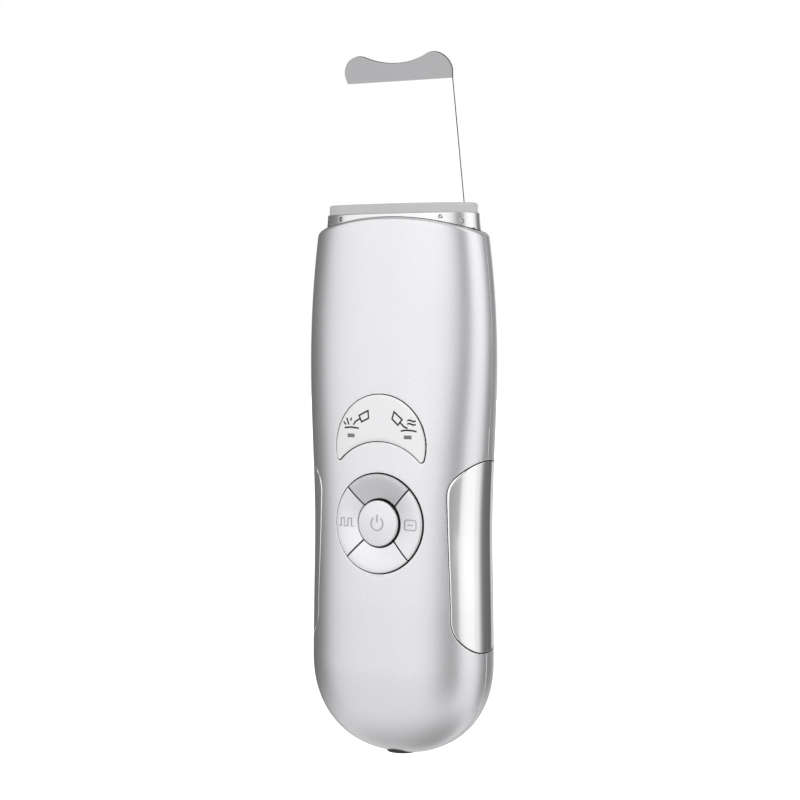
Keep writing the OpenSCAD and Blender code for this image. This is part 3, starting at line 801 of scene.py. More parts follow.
def window():
    x, z = crescent_grid(-LENS_INSET, across=25)
    front = lens_face(x, z) - edge_drop([edge_gap(x, z, lens_outline(-LENS_INSET))], 0.14)
    obj = front_slab("indicator_lens_visual", x, z, front, skin_y(x, z) - LENS_T)
    sharpen(obj, 50)
    raw_and_shade_behind(obj, lens_face, 0.15)
    finish_piece(obj, "handset", "lens_plastic", ["indicator_lens"])


def mode_windows():
    """The two grey windows in the crescent over the lights."""
    for side, label in ((-1, "left"), (1, "right")):
        u, v = np.meshgrid(np.linspace(-1, 1, 7), np.linspace(-1, 1, 5))
        x, z = side * LED_X + u * LIGHT_HALF_W, LED_Z + v * LIGHT_HALF_H
        face = lens_face(x, z)
        obj = front_slab(f"mode_window_{label}", x, z, face + 0.02, face - 0.25)
        bevel(obj, 0.05, 60)
        sharpen(obj, 35)
        finish_piece(obj, "handset", "clear_plastic")


def mode_icons():
    """Line icons over the lights: a blade over the skin with spray, and one with waves."""
    lines = [
        # left: the handset's head, its blade, the skin and the spray
        ([(-3.4, 90.7), (-3.2, 88.75), (-5.3, 87.75), (-6.1, 89.4)], True),
        ([(-5.75, 88.6), (-7.2, 87.8), (-7.85, 86.9)], False),
        ([(-10.6, 86.1), (-8.5, 86.3), (-6.1, 86.05)], False),
        ([(-10.95, 87.7), (-10.2, 86.9)], False),
        ([(-10.0, 88.7), (-9.25, 86.9)], False),
        ([(-8.45, 88.75), (-8.75, 87.95)], False),
        # right: the same with the blade turned over
        ([(4.4, 90.6), (6.8, 88.65), (5.6, 87.2), (3.85, 88.75)], True),
        ([(6.25, 87.85), (7.4, 86.8), (8.45, 86.45)], False),
        ([(6.5, 85.7), (7.9, 85.95), (9.6, 85.9), (11.0, 85.65)], False),
    ]
    paths = [dense(*line) for line in lines]
    for height in (87.5, 88.4):
        wave = [(8.3 + 0.1 * k, height + 0.17 * math.sin(2 * math.pi * k / 24)) for k in range(25)]
        paths.append((wave, False))
    icons = ribbon("mode_icons", paths, ICON_STROKE, lens_face, ICON_RISE)
    finish_piece(icons, "handset", "black_plastic")


# ---- keys

RIM_PROUD = 0.6
RIM_ROUND = 0.3
SHELF = 1.0  # width of the raised shelf inside the rim
DISH = 1.0  # fall of the segment keys from the shelf to their inner edge
DISH_UPPER = 0.3  # extra fall of the upper key
DOME = 0.25  # rise of the centre key
SYMBOL_RISE = 0.1
# Flanges that catch behind the opening: radii and depths
FLANGE_R, FLANGE_INNER_R, FLANGE_FRONT, FLANGE_BACK = 14.1, 8.4, 9.55, 8.85
CENTRE_FLANGE_R, CENTRE_FLANGE_FRONT, CENTRE_FLANGE_BACK = 7.9, 9.38, 8.86


def key_face(x, z):
    """Depth of the segment keys' face in front of the mid-plane, without its rounded edges."""
    r = np.hypot(x, z - KEY_Z)
    t = np.clip((KEY_R - SHELF - r) / (KEY_R - SHELF - CENTRE_R - KEY_GAP), 0, 1)
    dish = DISH + DISH_UPPER * np.clip((z - KEY_Z) / np.maximum(r, 0.1), 0, 1) ** 2
    return skin_y(x, z) + RIM_PROUD - dish * (0.35 * t + 0.65 * t * t * (1.5 - 0.5 * t))


def centre_face(x, z):
    r = np.hypot(x, z - KEY_Z)
    return skin_y(x, z) + 0.3 + DOME * (1 - np.clip(r / CENTRE_R, 0, 1) ** 2)


def segment(node, turn):
    """A quarter key; turn is its direction from the centre in degrees, 0 to the right."""
    name = node + "_visual"
    inner, gap, small = CENTRE_R + KEY_GAP, KEY_GAP / 2, RIM_ROUND * 0.7
    shelf = KEY_R - SHELF - 0.3
    steps = edge_steps(RIM_ROUND)
    radii = np.concatenate([
        inner + steps * 0.7,
        np.linspace(inner + RIM_ROUND, shelf, 22)[1:],
        np.linspace(shelf, KEY_R - RIM_ROUND, 8)[1:],
        KEY_R - steps[::-1][1:],
    ])
    rows = []
    for r in radii:
        ends = [-math.pi / 4 + math.asin((gap + d * 0.7) / r) for d in steps]
        middle = np.linspace(ends[-1], -ends[-1], 42)[1:-1]
        rows.append(np.concatenate([ends, middle, [-a for a in ends[::-1]]]))
    local = np.array(rows)
    r = np.repeat(radii[:, None], local.shape[1], 1)
    angle = local + math.radians(turn)
    x, z = r * np.cos(angle), KEY_Z + r * np.sin(angle)
    sides = [r * np.sin(math.pi / 4 + sign * local) - gap for sign in (1, -1)]
    drop = np.maximum(edge_drop([KEY_R - r], RIM_ROUND), edge_drop([r - inner] + sides, small))
    obj = front_slab(name, x, z, key_face(x, z) - drop, np.full_like(x, KEY_BACK))
    sharpen(obj, 55)
    start, end = math.radians(turn - 45) + 0.02, math.radians(turn + 45) - 0.02
    flange = arc(0, KEY_Z, FLANGE_R, start, end, 40) + arc(0, KEY_Z, FLANGE_INNER_R, end, start, 40)
    obj = join(name, [obj, prism("flange", flange, -FLANGE_FRONT, -FLANGE_BACK, along_y)])
    raw_and_shade_behind(obj, key_face, 0.36)
    finish_piece(obj, node + "_body", "key_silver", [node])


def centre_key():
    radius, edge = CENTRE_R - 0.03, 0.35
    steps = edge_steps(edge, 8)
    radii = np.concatenate([[0.15], np.linspace(0.5, radius - edge, 16)[:-1], radius - steps[::-1]])
    t = np.linspace(0, 2 * math.pi, 97)[:-1]
    loops = []
    for r in radii:
        x, z = r * np.cos(t), KEY_Z + r * np.sin(t)
        loops.append(ring(x, edge_drop([radius - r], edge) - centre_face(x, z), z))
    # the key's side and its flange
    flange = [(CENTRE_FLANGE_R, CENTRE_FLANGE_FRONT), (CENTRE_FLANGE_R, CENTRE_FLANGE_BACK)]
    for r, depth in [(radius, CENTRE_FLANGE_FRONT + 0.04)] + flange:
        loops.append(ring(r * np.cos(t), np.full_like(t, -depth), KEY_Z + r * np.sin(t)))
    obj = stack_solid("on_off_key_visual", loops)
    sharpen(obj, 55)
    raw_and_shade_behind(obj, centre_face, 0.6)
    finish_piece(obj, "on_off_key_body", "key_silver", ["on_off_key"])


def key_symbols():
    """Generic raised symbols: power, pulse and pad."""
    turn = arc(0, KEY_Z, 1.75, math.radians(125), math.radians(415), 48)
    power = [(turn, False), dense([(0, KEY_Z + 0.35), (0, KEY_Z + 2.3)])]
    steps = [(-2.2, 0), (-1.5, 0), (-1.5, 2), (-0.5, 2), (-0.5, 0)]
    steps += [(-u, v) for u, v in steps[::-1]]
    pulse = [dense([(u - 9.65, KEY_Z - 1.1 + v) for u, v in steps])]
    mid, half_u, half_v, corner = 9.6, 1.75, 1.3, 0.6
    outline = []
    for sx, sz, start in ((1, 1, 0), (-1, 1, 90), (-1, -1, 180), (1, -1, 270)):
        centre = mid + sx * (half_u - corner), KEY_Z + sz * (half_v - corner)
        outline += arc(*centre, corner, math.radians(start), math.radians(start + 90), 6)
    pad = [dense(outline, True), dense([(mid - 0.8, KEY_Z), (mid + 0.8, KEY_Z)])]
    for label, body, paths, width, face in (
        ("power", "on_off", power, 0.42, centre_face),
        ("pulse", "pulse", pulse, 0.36, key_face),
        ("pad", "pad", pad, 0.36, key_face),
    ):
        symbol = ribbon(label + "_symbol", paths, width, face, SYMBOL_RISE)
        finish_piece(symbol, body + "_key_body", "key_silver")


# ---- side plates


def side_plate(side, sign):
    """A chrome plate with its two studs; sign is 1 on the right and -1 on the left."""
    name, inset, radius = side + "_plate_visual", -0.04, 0.14
    z = plate_rows(130, inset)
    rows = []
    for width in np.maximum(plate_half_width(z, inset), 0.03):
        edge = np.minimum(edge_steps(radius, 5), width * 0.4)
        middle = np.linspace(-1, 1, 45)[1:-1] * (width - edge[-1])
        rows.append(np.concatenate([-width + edge, middle, (width - edge)[::-1]]))
    y = np.array(rows)
    z = np.repeat(z[:, None], y.shape[1], 1)
    drop = edge_drop([edge_gap(y, z, plate_outline(inset, 200))], radius)
    front = skin_x(y, z) + 0.02 - PLATE_DROOP * (y / PLATE_HALF_W) ** 4 - drop
    back = skin_x(y, z, PLATE_T + 0.05)
    obj = slab(name, np.stack([sign * front, y, z], 2), np.stack([sign * back, y, z], 2))
    sharpen(obj, 50)
    studs = []
    for at in STUD_HEIGHTS:
        reach = float(skin_x(STUD_Y, at)) - 0.4
        low, high = sorted((sign * 19.0, sign * reach))
        studs.append(prism("stud", circle(STUD_Y, at, 1.0, 32), low, high, along_x))
    finish_piece(join(name, [obj] + studs), "handset", "plate_chrome", [side + "_electrode_plate"])


# ---- neck, seal and blade


def collar_loop(grow, z, grow_y=None):
    """Loop of points round the neck, grow outside the collar's size."""
    t = even_angles(0, 2 * math.pi, 241, COLLAR_POWER, 0.36)[:-1]
    x, y = oval(NECK_HALF_W + grow, NECK_HALF_D + (grow if grow_y is None else grow_y), t, COLLAR_POWER)
    return ring(x, y, z)


def ring_solid(name, loops):
    """Closed ring through loops of points that follow each other round its section."""
    count = len(loops) * len(loops[0])
    faces = grid_faces(len(loops) + 1, len(loops[0]), wrap=True)
    return closed(name, np.concatenate(loops), [[v % count for v in face] for face in faces])


def neck_shade_bead():
    """Dark bead between the neck collar and the arched shoulder, a dark sheet that paints the shade in the
    gap there.
    """
    loops = []
    for grow, up in ((0.0, -1.2), (0.4, -1.2), (0.4, 0.16), (0.34, 0.24), (0.0, 0.24)):
        loop = collar_loop(grow, 0.0, grow * 0.6)
        loop[:, 2] = BODY_LEN + rise(loop[:, 0], loop[:, 1], BODY_LEN) + up
        loops.append(loop)
    return ring_solid("shade_bead", loops)


def neck_collar():
    """Bright collar with studs in round grooves, and the dark bead round its foot; the bead and the grooves'
    walls are painted shade.
    """
    edge, wall, foot = 0.25, 1.6, NECK_TOP - 10.9
    loops = []
    for z in np.linspace(foot, NECK_TOP - edge, 24):
        flare = 0.5 * float(ease((NECK_TOP - z) / 7))
        loops.append(collar_loop(flare, z, flare / 2))
    rim = rounding(edge, (25, 50, 72, 90)) + [(wall - 0.15, 0.0), (wall, 0.15), (wall, NECK_TOP - foot)]
    loops += [collar_loop(-inset, NECK_TOP - drop) for inset, drop in rim]
    obj = ring_solid("neck_collar_visual", loops)
    marks, studs = [], []
    for sx, sy, (x, y, turn, drop) in product((-1, 1), (-1, 1), COLLAR_STUDS):
        out = Vector((sx * math.sin(math.radians(turn)), sy * math.cos(math.radians(turn)), 0))
        across = Vector((out.y, -out.x, 0))
        at = Vector((sx * x, sy * y, NECK_TOP - drop))

        def place(u, v, depth):
            return tuple(at + across * u + Vector((0, 0, v)) + out * depth)

        marks.append((np.array(at), np.array(out)))
        cut(obj, prism("groove", circle(0, 0, GROOVE_R, 32), -0.45, 2, place), solver="EXACT")
        profile = [(0.3, -0.6), (0.3, -0.12), (0.26, -0.03), (0.16, 0.03), (0.01, 0.05)]
        studs.append(lathe("stud", profile, (0, 0), place, 24))
    bevel(obj, 0.06, 50)
    obj = join("neck_collar_visual", [obj, neck_shade_bead()] + studs)
    sharpen(obj, 40)

    # the bead at the foot and the grooves' walls round the studs get the dark second material as painted
    # shade
    def dark(centres, _):
        x, y, z = centres.T
        chosen = (collar_reach(x, y, 0.3, 0.18) > 1) & (z < BODY_LEN + rise(x, y, BODY_LEN) + 0.3)
        for at, out in marks:
            depth = (centres - at) @ out
            radius = np.linalg.norm(centres - at - depth[:, None] * out, axis=1)
            chosen |= (radius > 0.31) & (radius < GROOVE_R + 0.08) & (np.abs(depth + 0.3) < 0.28)
        return chosen

    second_material(obj, dark)
    finish_piece(obj, "handset", "bright_silver", ["neck_collar"])


def blade_seal():
    edge, foot = 0.7, NECK_TOP + 0.02
    loops = [collar_loop(-1.75, NECK_TOP - 2.4), collar_loop(-1.75, foot), collar_loop(-SEAL_INSET, foot)]
    for inset, drop in rounding(edge, (0, 20, 40, 60, 76, 90)):
        loops.append(collar_loop(-SEAL_INSET - inset, SEAL_TOP - drop))
    loops.append(collar_loop(-3.0, SEAL_TOP))
    obj = stack_solid("blade_seal_visual", loops)
    half_w, half_t = BLADE_ROOT_HALF + 0.1, BLADE_T / 2 + 0.05
    slot = rectangle(half_w, BLADE_Y - half_t, BLADE_Y + half_t)
    cut(obj, prism("slot", slot, NECK_TOP - 6, SEAL_TOP + 5, along_z))
    sharpen(obj, 40)
    finish_piece(obj, "handset", "grey_silicone", ["blade_seal"])


def tip_profile(count=241):
    """The tip's edge as points across and up from the bend line, from the left to the right."""
    half = BLADE_BEND_HALF
    lobe_x, lobe_v = half + TIP_FLARE - LOBE_R, TIP_LEN - LOBE_R
    hollow_r = (lobe_x * lobe_x / TIP_HOLLOW + TIP_HOLLOW) / 2 - LOBE_R
    hollow_v = TIP_LEN - TIP_HOLLOW + hollow_r
    share = LOBE_R / (hollow_r + LOBE_R)
    meet = (lobe_x * (1 - share), lobe_v + share * (hollow_v - lobe_v))
    start = math.atan2(meet[1] - lobe_v, meet[0] - lobe_x)
    lobe = arc(lobe_x, lobe_v, LOBE_R, start, 0, 60)
    turn = math.atan2(meet[1] - hollow_v, meet[0])
    hollow = arc(0, hollow_v, hollow_r, -math.pi / 2, turn, 60)
    right = hollow + lobe[1:] + [(half, 0.0)]
    left = [(-u, v) for u, v in right[::-1]]
    path = np.array(left[:-1] + right)
    run = np.concatenate([[0], np.cumsum(np.linalg.norm(np.diff(path, axis=0), axis=1))])
    even = np.linspace(0, run[-1], count)
    return np.stack([np.interp(even, run, path[:, k]) for k in (0, 1)], 1)


def blade():
    """Thin steel blade: flat part, small-radius bend and lobed tip as one grid."""
    edge = tip_profile()
    s = np.linspace(-1, 1, len(edge))
    half_t = BLADE_T / 2
    rows = []
    # flat part: the tab in the horn, then the taper from the seal to the bend
    root, taper = np.linspace(SEAL_TOP - 4.5, SEAL_TOP, 3), np.linspace(SEAL_TOP, BEND_Z - 0.25, 50)
    for z in [*root, *taper[1:]]:
        t = np.clip((z - SEAL_TOP) / (BEND_Z - SEAL_TOP), 0, 1)
        rows.append(np.stack([s * mix(BLADE_ROOT_HALF, BLADE_BEND_HALF, t), np.full_like(s, z - BEND_Z)], 1))
    # the tip, mixed from an even line at the bend to the lobed edge
    base = np.stack([s * BLADE_BEND_HALF, np.zeros_like(s)], 1)
    rows += [mix(base, edge, t) for t in np.linspace(0, 1, 30) ** 0.9]
    x, run = np.moveaxis(np.array(rows), 2, 0)
    # bends the sheet about the bend line
    span = BEND_R * TIP_BEND
    angle = np.clip((run + span / 2) / BEND_R, 0, TIP_BEND)
    past = np.maximum(run - span / 2, 0)
    z = np.minimum(run, -span / 2) + BEND_R * np.sin(angle) + past * math.cos(TIP_BEND)
    y = -BEND_R * (1 - np.cos(angle)) - past * math.sin(TIP_BEND)
    mid = np.stack([x, BLADE_Y + y, BEND_Z + z], 2)
    out = np.stack([np.zeros_like(x), -np.cos(angle), -np.sin(angle)], 2) * half_t
    obj = slab("blade_visual", mid + out, mid - out)
    bevel(obj, 0.09, 50)
    sharpen(obj, 50)
    tab = prism("tab", rectangle(*TAB), BLADE_Y - half_t, BLADE_Y + half_t, along_y)
    for x in (-HOLE_X, HOLE_X):
        cut(tab, prism("hole", circle(x, HOLE_Z, HOLE_R, 32), -6, 4, along_y), solver="EXACT")
    obj = join("blade_visual", [obj, tab])
    # the blade's side edges above the seal get dark steel as painted shade
    second_material(obj, lambda centres, normals: (np.abs(normals[:, 1]) < 0.5) & (centres[:, 2] > SEAL_TOP))
    finish_piece(obj, "handset", "stainless", ["blade"])


# ---- small visible parts


def lathe(name, profile, at=(0, 0), place=along_z, count=48):
    """Closed turned piece on (radius, distance along the axis) pairs that run from pole to pole."""
    loops = [[place(*point, along) for point in circle(*at, radius, count)] for radius, along in profile]
    obj = stack_solid(name, loops)
    sharpen(obj, 40)
    return obj


def screw_plugs():
    """Slightly domed plugs in the counterbores of the back."""
    made = []
    for low, high in islands("screw_plugs"):
        x, _, z = (low + high) / 2
        radius, top = (high[0] - low[0]) / 2, high[1]
        profile = [(0.02, low[1]), (radius, low[1])]
        profile += [(radius - inset, top - drop) for inset, drop in rounding(0.25, (0, 30, 60, 90))]
        profile += [(radius * 0.5, top + 0.03), (0.02, top + 0.05)]
        made.append(lathe("plug", profile, (x, z), along_y))
    finish_piece(join("screw_plugs_visual", made), "handset", "silver_paint", ["screw_plugs"])


def charging_socket():
    profile = [(1.25, 13.4), (1.25, 11), (3, 11), (3, 0.45), (3.1, 0.15), (3.4, 0), (3.95, 0), (4.12, 0.08)]
    profile += [(4.2, 0.25), (4.2, 5.6), (5.2, 5.6), (5.2, 7.2), (4.2, 7.2), (4.2, 13.5), (0.9, 13.5)]
    finish_piece(lathe("dc_socket_visual", profile), "handset", "black_plastic", ["dc_socket"])


def charging_pin():
    profile = [(0.02, 15), (1.2, 15), (1.2, 11), (1, 11), (1, 3.3), (0.85, 2.9), (0.5, 2.65), (0.02, 2.6)]
    finish_piece(lathe("dc_contact_pin_visual", profile), "handset", "contact_nickel", ["dc_contact_pin"])


# ---- materials


class Nodes:
    """Short helper to build the nodes of the world or a material."""

    def __init__(self, tree):
        self.tree = tree

    def plug(self, socket, value):
        """Links an input, or sets its value."""
        if hasattr(value, "is_linked"):
            self.tree.links.new(value, socket)
        else:
            socket.default_value = value

    def add(self, kind, *inputs, **named):
        node = self.tree.nodes.new("ShaderNode" + kind)
        for key, value in [*enumerate(inputs), *named.items()]:
            self.plug(node.inputs[key], value)
        return node

    def math(self, operation, *inputs):
        node = self.add("Math", *inputs)
        node.operation = operation
        return node.outputs[0]

    def map(self, value, low, high, start=0.0, end=1.0, smooth=False):
        """Maps low...high to start...end."""
        node = self.add("MapRange", Value=value)
        node.interpolation_type = "SMOOTHSTEP" if smooth else "LINEAR"
        for key, number in (("From Min", low), ("From Max", high), ("To Min", start), ("To Max", end)):
            node.inputs[key].default_value = number
        return node.outputs["Result"]


class Material(Nodes):
    """A material that is built round its principled shader."""

    def __init__(self, name):
        self.material = bpy.data.materials.new(name)
        self.material.use_nodes = True
        super().__init__(self.material.node_tree)
        self.bsdf = self.tree.nodes["Principled BSDF"]
        self.place = self.add("TexCoord").outputs["Object"]

    def set(self, **inputs):
        for key, value in inputs.items():
            self.plug(self.bsdf.inputs[key.replace("_", " ")], value)

    def noise(self, scale, detail=2.0, stretch=None):
        """Noise with its scale in features per millimetre."""
        place = self.add("Mapping", Vector=self.place, Scale=stretch).outputs[0] if stretch else self.place
        return self.add("TexNoise", Vector=place, Scale=scale / MM, Detail=detail).outputs["Fac"]

    def spread(self, noise, low, high):
        """Maps noise, which is mostly between 0.3 and 0.7, to low and high."""
        return self.map(noise, 0.3, 0.7, low, high)

    def bump(self, value, strength, distance):
        node = self.add("Bump", Height=value, Strength=strength, Distance=distance * MM)
        self.set(Normal=node.outputs["Normal"])

    def tint(self, value, dark, light):
        """Colour between two, by a value from 0 to 1."""
        node = self.tree.nodes.new("ShaderNodeMix")
        node.data_type = "RGBA"
        for key, entry in (("Factor", value), ("A", (*dark, 1)), ("B", (*light, 1))):
            self.plug(node.inputs[key], entry)
        return node.outputs["Result"]


def tones(colour, down, up):
    """A colour's darker and lighter shade."""
    return [c * (1 - down) for c in colour], [min(1.0, c * (1 + up)) for c in colour]


def surface(name, colour, metallic=0.0, rough=0.5, vary=0.06, spread=0.05, bump=0.02, coat=0.0, stretch=None,
            specular=0.5):
    """Material with a slow change of tone and gloss, and a fine bump."""
    nodes = Material(name)
    slow = nodes.noise(0.09, 3.0)
    fine = nodes.noise(3.6, 2.0, stretch)
    nodes.set(
        Base_Color=nodes.tint(nodes.spread(slow, 0, 1), *tones(colour, vary, vary)),
        Roughness=nodes.spread(fine, max(0.02, rough - spread), min(1.0, rough + spread)),
        Metallic=metallic,
        Specular_IOR_Level=specular,
        Coat_Weight=coat,
        Coat_Roughness=0.12,
    )
    if bump:
        nodes.bump(fine, bump, 0.05)
    return nodes.material


def silver_paint(name, colour, rough=0.34):
    """Metallic silver paint with fine flakes."""
    nodes = Material(name)
    flakes = nodes.add("TexVoronoi", Vector=nodes.place, Scale=7.0 / MM)
    grain = nodes.add("SeparateColor", flakes.outputs["Color"])
    nodes.set(
        Base_Color=nodes.tint(grain.outputs["Red"], *tones(colour, 0.05, 0.035)),
        Metallic=1.0,
        Roughness=nodes.spread(nodes.noise(0.05, 3.0), rough - 0.02, rough + 0.02),
    )
    nodes.bump(grain.outputs["Green"], 0.10, 0.012)
    return nodes.material


def blade_steel(name):
    """Polished steel with fine drawn lines; the bent tip is rougher, and darker as painted shade."""
    nodes = Material(name)
    height = nodes.add("SeparateXYZ", nodes.place).outputs["Z"]
    # the bent tip: rougher, and its colour darkened as painted shade
    tip = nodes.math("GREATER_THAN", height, BEND_Z * MM)
    lines = nodes.spread(nodes.noise(2.0, 2.0, (1, 1, 0.05)), 0.07, 0.11)
    nodes.set(
        Base_Color=nodes.tint(tip, (0.96, 0.96, 0.965), (0.53, 0.53, 0.54)),
        Roughness=nodes.math("MULTIPLY_ADD", tip, 0.2, lines),
        Metallic=1.0,
    )
    return nodes.material


# Colour, metallic and roughness of the plain surfaces, and what else differs
SURFACES = {
    "bright_silver": ((0.82, 0.82, 0.825), 1.0, 0.16, dict(vary=0.02, spread=0.03)),
    "grey_silicone": ((0.66, 0.66, 0.67), 0.0, 0.6, dict(vary=0.03, bump=0.05, specular=0.3)),
    "screw_steel": ((0.5, 0.5, 0.51), 1.0, 0.3, {}),
    "horn_metal": ((0.62, 0.62, 0.64), 1.0, 0.3, dict(stretch=(0.1, 0.1, 1))),
    "piezo_ceramic": ((0.62, 0.58, 0.46), 0.0, 0.5, {}),
    "contact_brass": ((0.8, 0.58, 0.26), 1.0, 0.28, {}),
    "contact_nickel": ((0.72, 0.71, 0.7), 1.0, 0.22, {}),
    "white_plastic": ((0.82, 0.8, 0.74), 0.0, 0.5, {}),
    "mass_steel": ((0.36, 0.37, 0.39), 1.0, 0.35, dict(stretch=(0.1, 0.1, 1))),
    "dark_rubber": ((0.035, 0.035, 0.038), 0.0, 0.8, dict(bump=0.2)),
    "black_plastic": ((0.02, 0.02, 0.022), 0.0, 0.4, dict(bump=0.05)),
    "switch_plastic": ((0.07, 0.07, 0.075), 0.0, 0.5, {}),
    "board_green": ((0.02, 0.16, 0.06), 0.0, 0.35, dict(vary=0.15, coat=0.3)),
    "lens_plastic": ((0.88, 0.88, 0.89), 0.65, 0.3, dict(vary=0.01, spread=0.02, bump=0.0, coat=0.3)),
    "clear_plastic": ((0.2, 0.2, 0.205), 0.0, 0.3, dict(vary=0.03, spread=0.03, bump=0.0)),
    "led_plastic": ((0.85, 0.85, 0.7), 0.0, 0.3, {}),
    "plate_chrome": ((0.98, 0.98, 0.985), 1.0, 0.05, dict(vary=0.01, spread=0.012, bump=0.0)),
    "battery_wrap": ((0.25, 0.36, 0.45), 0.0, 0.35, dict(vary=0.08, coat=0.4)),
    "ferrite": ((0.045, 0.043, 0.043), 0.0, 0.6, {}),
    "copper_wire": ((0.75, 0.35, 0.15), 1.0, 0.3, dict(stretch=(1, 0.1, 4))),
    "capacitor_sleeve": ((0.05, 0.06, 0.12), 0.0, 0.35, dict(coat=0.3)),
    "red_wire": ((0.5, 0.03, 0.02), 0.0, 0.45, {}),
    "pale_wire": ((0.7, 0.64, 0.5), 0.0, 0.45, {}),
    "blue_wire": ((0.04, 0.1, 0.35), 0.0, 0.45, {}),
    "black_wire": ((0.02, 0.02, 0.022), 0.0, 0.45, {}),
    # dark raw plastic, which also paints the shade in gaps, grooves and along the sides of keys
    "raw_plastic_and_gap_shade": ((0.03, 0.03, 0.032), 0.0, 0.6, {}),
    # dark steel on the blade's side edges: painted shade
    "blade_edge_shade": ((0.16, 0.16, 0.165), 1.0, 0.4, {}),
    "icon_ink": ((0.02, 0.02, 0.022), 0.0, 0.5, dict(bump=0.0)),
}
# Colour and roughness of the painted ones
PAINTS = {
    "silver_paint": ((0.82, 0.82, 0.835), 0.34),
    "key_silver": ((0.80, 0.80, 0.815), 0.3),
    # darker copy of the key silver for the upper key: painted shade in its dish
    "painted_shade_key_silver": ((0.60, 0.60, 0.615), 0.3),
    "symbol_silver": ((0.55, 0.55, 0.57), 0.4),
}
# Pieces whose look differs from that of their slot
OWN_LOOK = {
    "upper_key_visual": "painted_shade_key_silver",
    "mode_icons": "icon_ink",
    "power_symbol": "symbol_silver",
    "pulse_symbol": "symbol_silver",
    "pad_symbol": "symbol_silver",
}


def paint_everything():
    made = {slot: surface(slot, *look[:3], **look[3]) for slot, look in SURFACES.items()}
    made |= {slot: silver_paint(slot, *look) for slot, look in PAINTS.items()}
    made["stainless"] = blade_steel("stainless")
    node_slot = {part["node"]: part["material_slot"] for part in frame["record"]["subparts"]}
    for obj in [*frame["nodes"].values(), *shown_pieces()]:
        if not obj.material_slots:
            obj.data.materials.append(None)
    for node, obj in frame["nodes"].items():
        for entry in obj.material_slots:
            entry.material = made[node_slot[node]]
    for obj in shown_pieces():
        if obj.name not in frame["nodes"] and "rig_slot" in obj:
            obj.data.materials[0] = made[OWN_LOOK.get(obj.name, obj["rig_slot"])]
            if len(obj.data.materials) > 1:
                # the second material paints shade: dark steel on the blade's edges, dark raw plastic
                # elsewhere
                obj.data.materials[1] = made["blade_edge_shade" if obj.name == "blade_visual" else "raw_plastic_and_gap_shade"]


# ---- surroundings

VIEW_AZIMUTH = math.radians(30)
CAMERA_DISTANCE = 542.0
CAMERA_HEIGHT = 117.8
CAMERA_LENS = 92.7
AIM_HEIGHT = 93.06
AXIS_OFFSET = 0.7  # the handset's axis stands this far right of the frame's middle
FLOOR_Z = -60.0

# Brightness of the studio round the object: azimuth in degrees (0 in front, 90 on the
# right) and brightness at eye level
STUDIO = [
    (-180, 0.8), (-170, 0.5), (-160, 0.2), (-105, 0.2), (-85, 0.24), (-75, 0.27), (-68, 0.38),
    (-62, 0.62), (-56, 1.0), (-50, 1.07), (-35, 1.12), (-20, 1.2), (5, 1.21), (12, 1.13), (18, 0.98),
    (24, 0.78), (30, 0.55), (36, 0.44), (44, 0.44), (52, 0.54), (58, 0.76), (65, 1.02), (75, 1.14),
    (85, 1.2), (110, 1.2), (120, 1.08), (130, 1.02), (138, 0.86), (145, 0.6), (152, 0.31), (160, 0.18),
    (168, 0.16), (174, 0.45), (180, 0.8),
]
# Share of that brightness by the height of the direction, from -1 straight down to 1 straight up
HEIGHT = [
    (-1, 0.32), (-0.93, 0.38), (-0.87, 0.46), (-0.8, 0.56), (-0.7, 0.69), (-0.6, 0.76), (-0.5, 0.76),
    (-0.38, 0.74), (-0.25, 0.76), (-0.165, 0.785), (-0.074, 0.88), (0, 0.95), (0.1, 1.0), (0.6, 1.0),
    (1, 0.9),
]
BELOW = 1.19  # brightness all round where the studio's floor takes over
CARD_LEAN = 17  # the dark cards on the right lean this many degrees forwards lower down
CARD_SPREAD = 10  # and the first one is this much wider at its foot
FLOOR_HALF = 3000.0


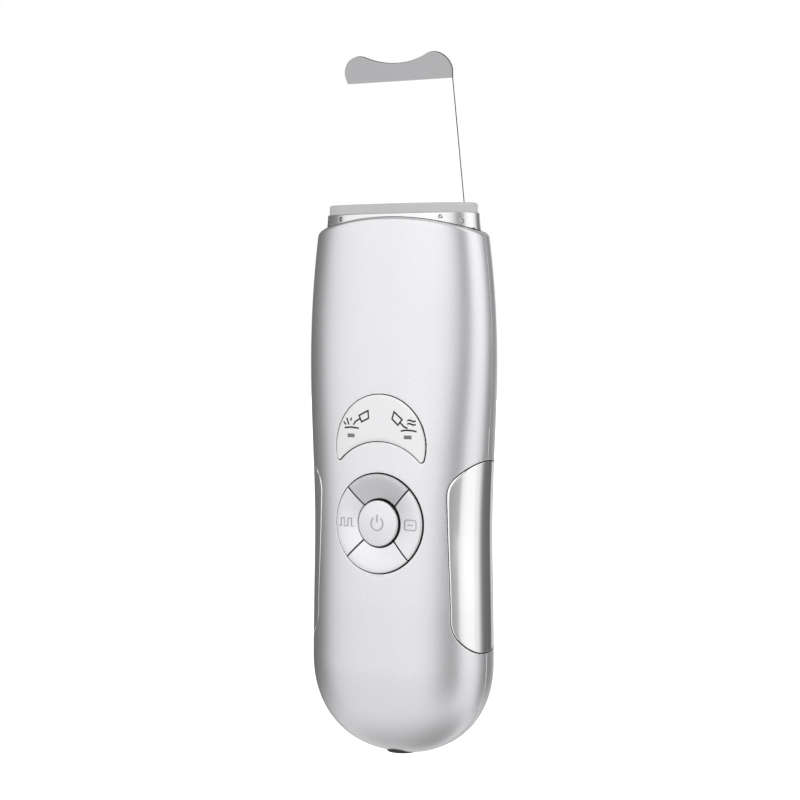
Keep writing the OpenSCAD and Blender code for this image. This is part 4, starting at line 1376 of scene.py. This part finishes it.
def studio_world():
    world = bpy.data.worlds.new("studio")
    bpy.context.scene.world = world
    world.use_nodes = True
    nodes = Nodes(world.node_tree)
    nodes.tree.nodes.clear()

    def follow(value, knots, low, high):
        """Value of a smooth curve through (position, level) knots."""
        curve = nodes.add("FloatCurve", Value=nodes.map(value, low, high))
        curve.mapping.use_clip = False
        points = curve.mapping.curves[0].points
        while len(points) < len(knots):
            points.new(0.5, 0.5)
        for point, (at, level) in zip(points, knots):
            point.location = ((at - low) / (high - low), level / 2)
            point.handle_type = "AUTO_CLAMPED"
        curve.mapping.update()
        return nodes.math("MULTIPLY", curve.outputs[0], 2.0)

    def step(value, *limits):
        return nodes.map(value, *limits, smooth=True)

    x, y, z = nodes.add("SeparateXYZ", nodes.add("TexCoord").outputs["Generated"]).outputs
    azimuth = nodes.math("ARCTAN2", x, nodes.math("MULTIPLY", y, -1.0))
    degrees = nodes.math("MULTIPLY", azimuth, 180 / math.pi)
    lean = nodes.math("MULTIPLY", step(z, -0.085, 0.01, CARD_LEAN, 0.0), step(degrees, -30, 0))
    spread = nodes.math("MULTIPLY", step(z, -0.092, -0.076, -CARD_SPREAD, 0.0), step(degrees, 28, 48))
    ahead = nodes.math("MINIMUM", nodes.math("ADD", degrees, nodes.math("ADD", lean, spread)), 180.0)
    level = follow(ahead, STUDIO, -180, 180)
    # low down, the floor's even light takes over
    level = nodes.math("MULTIPLY_ADD", level, step(z, -0.8, -0.2), step(z, -0.8, -0.2, BELOW, 0.0))
    level = nodes.math("MULTIPLY", level, follow(z, HEIGHT, -1, 1))
    lit = nodes.add("Background", (1.0, 1.0, 1.005, 1), level)
    plain = nodes.add("Background", (1, 1, 1, 1), 1.0)
    seen = nodes.add("LightPath").outputs["Is Camera Ray"]
    both = nodes.add("MixShader", seen, lit.outputs[0], plain.outputs[0])
    nodes.add("OutputWorld", both.outputs[0])


def studio_floor():
    """Plain pale floor under the object, seen by the camera only."""
    corners = [(x, y, FLOOR_Z) for x, y in rectangle(FLOOR_HALF, -FLOOR_HALF, FLOOR_HALF)]
    floor = add_object("floor", corners, [[0, 1, 2, 3]])
    nodes = Material("floor_white")
    nodes.set(Base_Color=(0.9, 0.9, 0.9, 1), Roughness=0.9)
    nodes.set(Emission_Color=(1, 1, 1, 1), Emission_Strength=0.75)
    floor.data.materials.append(nodes.material)
    floor.visible_glossy = False
    floor.visible_diffuse = False


def studio_camera():
    data = bpy.data.cameras.new("camera")
    data.lens = CAMERA_LENS
    data.sensor_width = 36
    data.clip_start = 0.01
    data.clip_end = 20
    camera = link("camera", data)
    right = Vector((math.cos(VIEW_AZIMUTH), math.sin(VIEW_AZIMUTH), 0))
    position = Vector((math.sin(VIEW_AZIMUTH), -math.cos(VIEW_AZIMUTH), 0)) * CAMERA_DISTANCE
    position.z = CAMERA_HEIGHT
    target = -right * AXIS_OFFSET + Vector((0, 0, AIM_HEIGHT))
    camera.location = position * MM
    camera.rotation_euler = (target - position).to_track_quat("-Z", "Y").to_euler()
    bpy.context.scene.camera = camera


# ---- the object

housing("front_housing", -1)
housing("rear_housing", 1)
window()
mode_windows()
mode_icons()
for quarter, key in enumerate(("pad_key", "upper_key", "pulse_key", "lower_key")):
    segment(key, 90 * quarter)
centre_key()
key_symbols()
side_plate("right", 1)
side_plate("left", -1)
neck_collar()
blade_seal()
blade()
screw_plugs()
charging_socket()
charging_pin()
paint_everything()
studio_world()
studio_floor()
studio_camera()
bpy.context.scene.view_settings.view_transform = "Standard"
